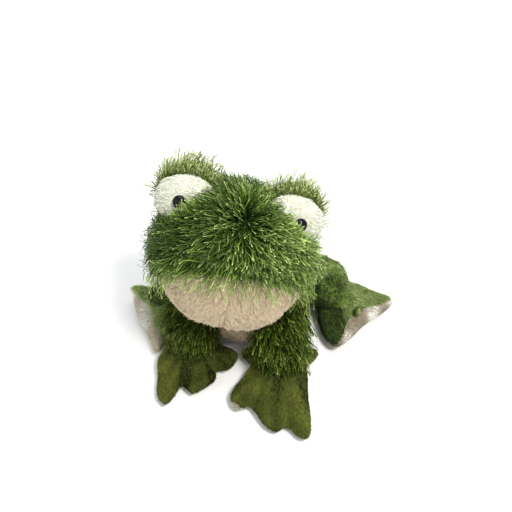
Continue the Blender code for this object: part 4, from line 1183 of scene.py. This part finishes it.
for s, sign in (("l", 1.0), ("r", -1.0)):
    # sleeve: from inside the body to the hand's back, a little gathered at the wrist
    sh, wr = SHOULDER[s], WRIST[s]
    run = unit(wr - sh)
    path = [sh - run * 8, sh + run * 6, sh + (wr - sh) * 0.5 + np.array([0, 0, 1.0]), wr - run * 8, wr - run * 2 + np.array([0, 0, -3.5])]
    radii = [11.5, 13.2, 13.4, 12.6, 10.5]
    ob = tube("skin_sleeve_" + s, path, radii, MAT["shag_base"], seed=3 + (s == "r"), puff=(4.0, 1.3))
    ob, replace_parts(ob, "arm_sleeve_" + s, "arm_stuffing_" + s), ob
    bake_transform(ob)

    def sleeve_comb(p, n, sh=sh, run=run):
        t = (p - sh) @ run
        out = unit(p - sh - t[:, None] * run)
        side = np.sign(sh[0])
        outer = smooth(-4, 10, (p[:, 0] - sh[0] - t * run[0]) * side)
        way = run * 0.85 + out * 0.25 + np.array([0.30 * side, 0, -0.30])
        way[:, 0] += side * outer * 0.55
        return way

    def sleeve_keep(p, sh=sh, wr=wr):
        return ((head_form(p, 0.0) > 1.0) & (np.linalg.norm(p - sh, axis=1) > 6) & (p[:, 2] > 7.0)
                & (p[:, 1] > wr[1] - 7.0))

    def sleeve_length(p, wr=wr):
        return 18.5 - 8.5 * smooth(wr[1] + 18, wr[1] - 4, p[:, 1])

    ob = pile("shag_sleeve_" + s, "skin_sleeve_" + s, 4900, sleeve_length, 0.54, (44, 2), sleeve_comb, MAT["shag_arm"],
              71 + (s == "r"), 6, 0.34, (6, 0.45), 22, 0.34, keep=sleeve_keep, floor=2.0,
              tone=lambda p, r: np.where(r.random(len(p)) < 0.16, r.uniform(0.35, 0.9, len(p)), r.uniform(0, 0.22, len(p)))
              + 0.10 * lumps(p, 11, 8),
              flat_side=0.6, length_spread=0.25, taper=0.8, knob=0.3,
              lift_spread=14, weight=lambda p: 1.0 + 0.3 * smooth(-45, -65, p[:, 1]))
    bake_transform(ob)

    # hand
    palm, outline = PALM[s], HAND_OUTLINE[s]
    rel = creases(HAND_CREASES[s], 3.4, 4.2)

    def hand_relief(p, rel=rel, wr=wr):
        near = np.linalg.norm(p[:, :2] - wr[:2], axis=1)
        return rel(p) + 7.0 * bump(near, 17) + 1.3 * lumps(p, 13, 40)

    pieces = []
    top, sole = paw("hand_" + s, [paw_grid(outline, palm, 7.5, lambda x, y: 0.0 * x, HAND_SEAM[s], hand_relief, up)
                                  for up in (True, False)], palm, 7.5, (MAT["pile_base"], MAT["sole_base"]))
    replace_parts(top, "hand_top_" + s, "hand_stuffing_" + s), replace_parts(sole, "hand_sole_" + s)
    top, sole

    def hand_tone(p, r, wr=wr, s=s):
        away = p[:, :2] - (wr[:2] + [0, 10])
        fan = np.arctan2(away[:, 1], away[:, 0])
        far = np.linalg.norm(away, axis=1)
        streak = lumps(np.stack([np.cos(fan) * 14, np.sin(fan) * 14, far * 0.11], 1), 1.9, 15)
        # Painted light: on the left hand a painted highlight on the outer toe and painted shade towards the inner side;
        # on the right hand lighter towards the outer side and painted shade towards the inner side.
        if s == "l":
            side = 0.30 * bump(np.linalg.norm(p[:, :2] - [73, -106], axis=1), 13) - 0.18 * smooth(34, 14, p[:, 0])
        else:
            side = 0.22 * smooth(-22, -52, p[:, 0]) - 0.30 * smooth(-26, 4, p[:, 0])
        # painted shade round the wrist, under the sleeve's end; the streaks and patches are the pile's own tone
        return (0.44 + side + 0.46 * streak + 0.34 * lumps(p, 12, 5) + r.normal(0, 0.09, len(p))
                - 0.42 * bump(np.linalg.norm(p[:, :2] - wr[:2] + [0, 2], axis=1), 20))

    def hand_comb(p, n, palm=palm, wr=wr):
        away = p[:, :2] - np.array([wr[0], wr[1] + 12.0])
        return np.stack([away[:, 0] + 4 * lumps(p, 10, 2), away[:, 1] - 6, np.zeros(len(p))], 1)

    nap = pile("pile_hand_" + s, top.name, 12500, 2.9, 0.40, (32, 8), hand_comb, MAT["pile"], 81 + (s == "r"), 2,
               0.12, (9, 0.5), 16, 0.0, flat_side=0.9, floor=0.6,
               tone=hand_tone)
    nap2 = pile("plush_hand_sole_" + s, sole.name, 3200, 2.2, 0.40, (30, 10), hand_comb, MAT["sole"], 85 + (s == "r"), 2,
                0.0, (8, 0.6), 20, 0.0, flat_side=0.8, floor=0.3,
                weight=lambda p: smooth(0.8, 2.5, p[:, 2]) + 0.02,
                tone=lambda p, r: 0.45 + 0.2 * lumps(p, 8, 7) + r.normal(0, 0.2, len(p)))
    for piece, slot in ((top, "pile"), (sole, "beige"), (nap, "pile"), (nap2, "beige")):
        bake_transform(piece)

    # leg: thigh and shin in one bent tube, creased behind the knee
    hip, knee, ank = HIP[s], KNEE[s], ANKLE[s]
    toe = unit(np.array([*FOOT_DIR[s], 0.0]))
    mid1, mid2 = (hip + knee) / 2, (knee + ank) / 2
    bend = unit(knee - (hip + ank) / 2)
    full = 8.0 if s == "l" else 4.5
    path = [hip, mid1 + bend * full + np.array([0, 0, full - 4.5]), knee - unit(knee - mid1) * 9 + bend * 3, knee - bend * 1.5,
            mid2 + np.array([0, 0, 1.5]),
            ank + np.array([0, 0, 1.0]), ank + toe * 9 + np.array([0, 0, -1.5])]
    radii = [15.0, 17.0 if s == "l" else 16.5, 16.5, 16.0, 16.0, 16.5, 15.0]

    def leg_wrinkle(p, knee=knee, bend=bend, ank=ank):
        inner = (p - knee) @ bend
        fold = 1.6 * bump(inner + 12, 5) * np.sin((p[:, 2] + p[:, 0] * 0.6) * 0.8)
        cuff = -1.3 * bump(np.linalg.norm(p - ank, axis=1) - 14, 3.0)
        knob = 1.8 * lumps(p, 10, 50)
        return fold * 0.6 + knob * 0.7 + cuff * 0.5

    ob = tube("skin_leg_" + s, path, radii, MAT["leg_base"], wrinkle=leg_wrinkle, seed=7 + (s == "r"),
              puff=(4.0, 1.6))
    settle(ob, "leg_" + s, ["leg_skin_" + s, "leg_stuffing_" + s])

    def leg_comb(p, n, hip=hip, knee=knee, ank=ank):
        first = bump(np.linalg.norm(p - hip, axis=1), 22)[:, None]
        return unit(knee - hip) * first + unit(ank - knee) * (1 - first) + np.array([0, 0, -0.2])

    # The leg pile's tone has painted light: the left leg is lighter towards its knee. Both legs carry painted shade,
    # darker on their front inner part beside the body, more strongly on the left leg.
    ob = pile("pile_leg_" + s, "skin_leg_" + s, 13500, 4.0, 0.45, (40, 12), leg_comb, MAT["leg"], 91 + (s == "r"), 2,
              0.1, (9, 0.6), 18, 0.0, flat_side=0.8, floor=0.6, keep=lambda p: head_form(p, 0.0) > 1.0,
              tone=lambda p, r: 0.54 + 0.30 * lumps(p, 9, 5) + 0.12 * lumps(p, 4, 6) + r.normal(0, 0.18, len(p))
              + (0.2 * smooth(22, 34, p[:, 1]) if s == "l" else 0.0)
              - (1.6 if s == "l" else 0.8) * smooth(90, 70, np.abs(p[:, 0])) * smooth(28, 6, p[:, 1]))
    settle(ob, "leg_" + s)

    # foot
    def curl(x, y, ank=ank, to=CURL[s][0], start=CURL[s][1], gain=CURL[s][2]):
        fwd = (x - ank[0]) * to[0] + (y - ank[1]) * to[1]
        side = -(x - ank[0]) * to[1] + (y - ank[1]) * to[0]
        k = np.maximum(0.0, fwd - start)
        return gain * k * k * (1.0 + 0.35 * bump(side, 12.0))

    rel = creases(FOOT_CREASES[s], 3.2, 4.0)

    def foot_relief(p, rel=rel, ank=ank):
        near = np.linalg.norm(p[:, :2] - ank[:2], axis=1)
        out = rel(p) + 10.0 * bump(near, 24) + 1.2 * lumps(p, 11, 41)
        if s == "l":
            toe_at = np.linalg.norm(p[:, :2] - np.array([100.5, -2.5]), axis=1)
            out = out + 5.5 * bump(toe_at, 4.6) - 2.2 * bump(toe_at - 6.0, 2.0)
            out = out + 3.0 * bump((p[:, 0] - 75) * 0.53 + (p[:, 1] + 1.5) * 0.85, 5) * bump(p[:, 0] - 82, 9)
        return out

    # the right foot's sole gets the lighter copy of the sole cloth: painted light
    top, sole = paw("foot_" + s, [paw_grid(FOOT_OUTLINE[s], FOOT_MID[s], 8.5, curl, FOOT_SEAM[s], foot_relief, up)
                                  for up in (True, False)], FOOT_MID[s], 8.5,
                    (MAT["leg_base"], MAT["sole_base" if s == "l" else "sole_pale_base"]))
    settle(top, "foot_" + s, ["foot_top_" + s, "foot_stuffing_" + s])
    settle(sole, "foot_" + s, ["foot_sole_" + s])

    def foot_comb(p, n, toe=toe, ank=ank):
        away = p[:, :2] - ank[:2] + toe[:2] * 10
        return np.stack([away[:, 0] + 4 * lumps(p, 10, 2), away[:, 1], np.zeros(len(p))], 1)

    def foot_tone(p, r, s=s):
        out = 0.56 + 0.28 * lumps(p, 9, 5) + 0.12 * lumps(p, 4, 6) + r.normal(0, 0.14, len(p))
        # Painted light: the right foot's pile is lighter all over.
        if s == "r":
            out = out + 0.36
        if s == "l":
            toe_at = np.linalg.norm(p[:, :2] - np.array([100.5, -2.5]), axis=1)
            slope = (p[:, 0] - 75) * 0.53 + (p[:, 1] + 1.5) * 0.85
            # Painted highlight on the curled toe with painted shade in a ring round it, a painted highlight along the
            # ridge with painted shade beside it, and painted shade on the inner front part, under the head.
            out = out + 0.8 * bump(toe_at, 2.6) - 0.8 * bump(toe_at - 5.4, 1.8)
            out = out + (0.35 * bump(slope - 1.5, 3) - 0.45 * bump(slope + 7, 4)) * bump(p[:, 0] - 84, 9)
            out = out - 1.3 * smooth(94, 78, p[:, 0]) * smooth(24, 4, p[:, 1])
        return out

    ob = pile("pile_foot_" + s, top.name, 10500, 3.2, 0.42, (34, 9), foot_comb, MAT["leg"], 101 + (s == "r"), 2,
              0.12, (9, 0.5), 16, 0.0, flat_side=0.9, floor=0.6, tone=foot_tone)
    settle(ob, "foot_" + s)
    def sole_tone(p, r, s=s):
        level, size, spots = ((0.03, 4.8, [(109, 1.0), (111, 8), (124, 19.5), (92, -25)]) if s == "l" else
                              (0.08, 5.5, [(-79, -32), (-77, -39), (-74, -46), (-94, -21)]))
        out = level + 0.16 * lumps(p, 9, 7) + r.normal(0, 0.09, len(p))
        # the spots are painted highlights on the sole's turned-up band
        for x, y in spots:
            out = out + 1.1 * bump(np.linalg.norm(p[:, :2] - np.array([x, y]), axis=1), size)
        return out

    # the right foot's sole pile is the lighter copy too: painted light
    ob = pile("plush_foot_sole_" + s, sole.name, 13000, 2.2, 0.40, (22, 6), foot_comb, MAT["sole" if s == "l" else "sole_pale"], 105 + (s == "r"), 2,
              0.0, (4, 0.3), 16, 0.0, flat_side=1.0, floor=0.3,
              weight=lambda p: smooth(0.8, 3.0, p[:, 2]) + 0.05, tone=sole_tone)
    settle(ob, "foot_" + s)

# --------------------------------------------------------------- floor and light
scene = bpy.context.scene
bpy.ops.mesh.primitive_plane_add(size=6.0, location=(0, 0, 0))
floor = bpy.context.active_object
floor.name = "floor"
floor_mat, tree, bsdf = nodes_of("pale_floor")
where = tree.nodes.new("ShaderNodeTexCoord").outputs["Object"]
noise = add(tree, "ShaderNodeTexNoise", Scale=3.0, Detail=2.0)
tree.links.new(where, noise.inputs["Vector"])
shade = ramp(tree, noise.outputs["Fac"], [(0.3, (0.93, 0.93, 0.925)), (0.7, (0.95, 0.95, 0.945))])
tree.links.new(shade.outputs["Color"], bsdf.inputs["Base Color"])
bsdf.inputs["Roughness"].default_value = 0.95
bsdf.inputs["Specular IOR Level"].default_value = 0.1
floor.data.materials.append(floor_mat)

world = bpy.data.worlds.new("studio")
scene.world = world
world.use_nodes = True
world.node_tree.nodes["Background"].inputs[0].default_value = (0.97, 0.985, 1.0, 1)
world.node_tree.nodes["Background"].inputs[1].default_value = 0.60


def softbox(name, at, look_at, size, power, colour=(1, 1, 1)):
    light = bpy.data.lights.new(name, "AREA")
    light.shape = "SQUARE"
    light.size = size
    light.energy = power
    light.color = colour
    ob = bpy.data.objects.new(name, light)
    scene.collection.objects.link(ob)
    ob.location = at
    ob.rotation_mode = "QUATERNION"
    ob.rotation_quaternion = (Vector(look_at) - Vector(at)).to_track_quat("-Z", "Y")
    return ob


softbox("key", (0.55, -0.38, 1.20), (0.0, -0.03, 0.07), 0.28, 14.0, (1.0, 0.985, 0.94))
softbox("fill", (-0.9, -0.75, 0.75), (0.0, -0.03, 0.07), 0.9, 2.5, (0.95, 0.98, 1.0))
softbox("top", (0.0, 0.25, 1.3), (0.0, 0.0, 0.07), 0.9, 7.0)

camera = bpy.data.cameras.new("camera")
cam = bpy.data.objects.new("camera", camera)
scene.collection.objects.link(cam)
az, el, dist, focal = math.radians(12.0), math.radians(47.0), 0.520, 655.0
aim = Vector((0.008, -0.014, 0.075))
back = Vector((math.sin(az) * math.cos(el), -math.cos(az) * math.cos(el), math.sin(el)))
right = Vector((math.cos(az), math.sin(az), 0.0))
above = back.cross(right)
place = Matrix((right, above, back)).transposed().to_4x4()
place.translation = aim + back * dist
cam.matrix_world = place
camera.sensor_width = 36
camera.lens = focal * 36 / 512
camera.shift_x = (256 - 250) / 512
camera.shift_y = (262 - 256) / 512
camera.clip_start, camera.clip_end = 0.01, 20
scene.camera = cam
scene.view_settings.view_transform = "Standard"
scene.view_settings.look = "None"
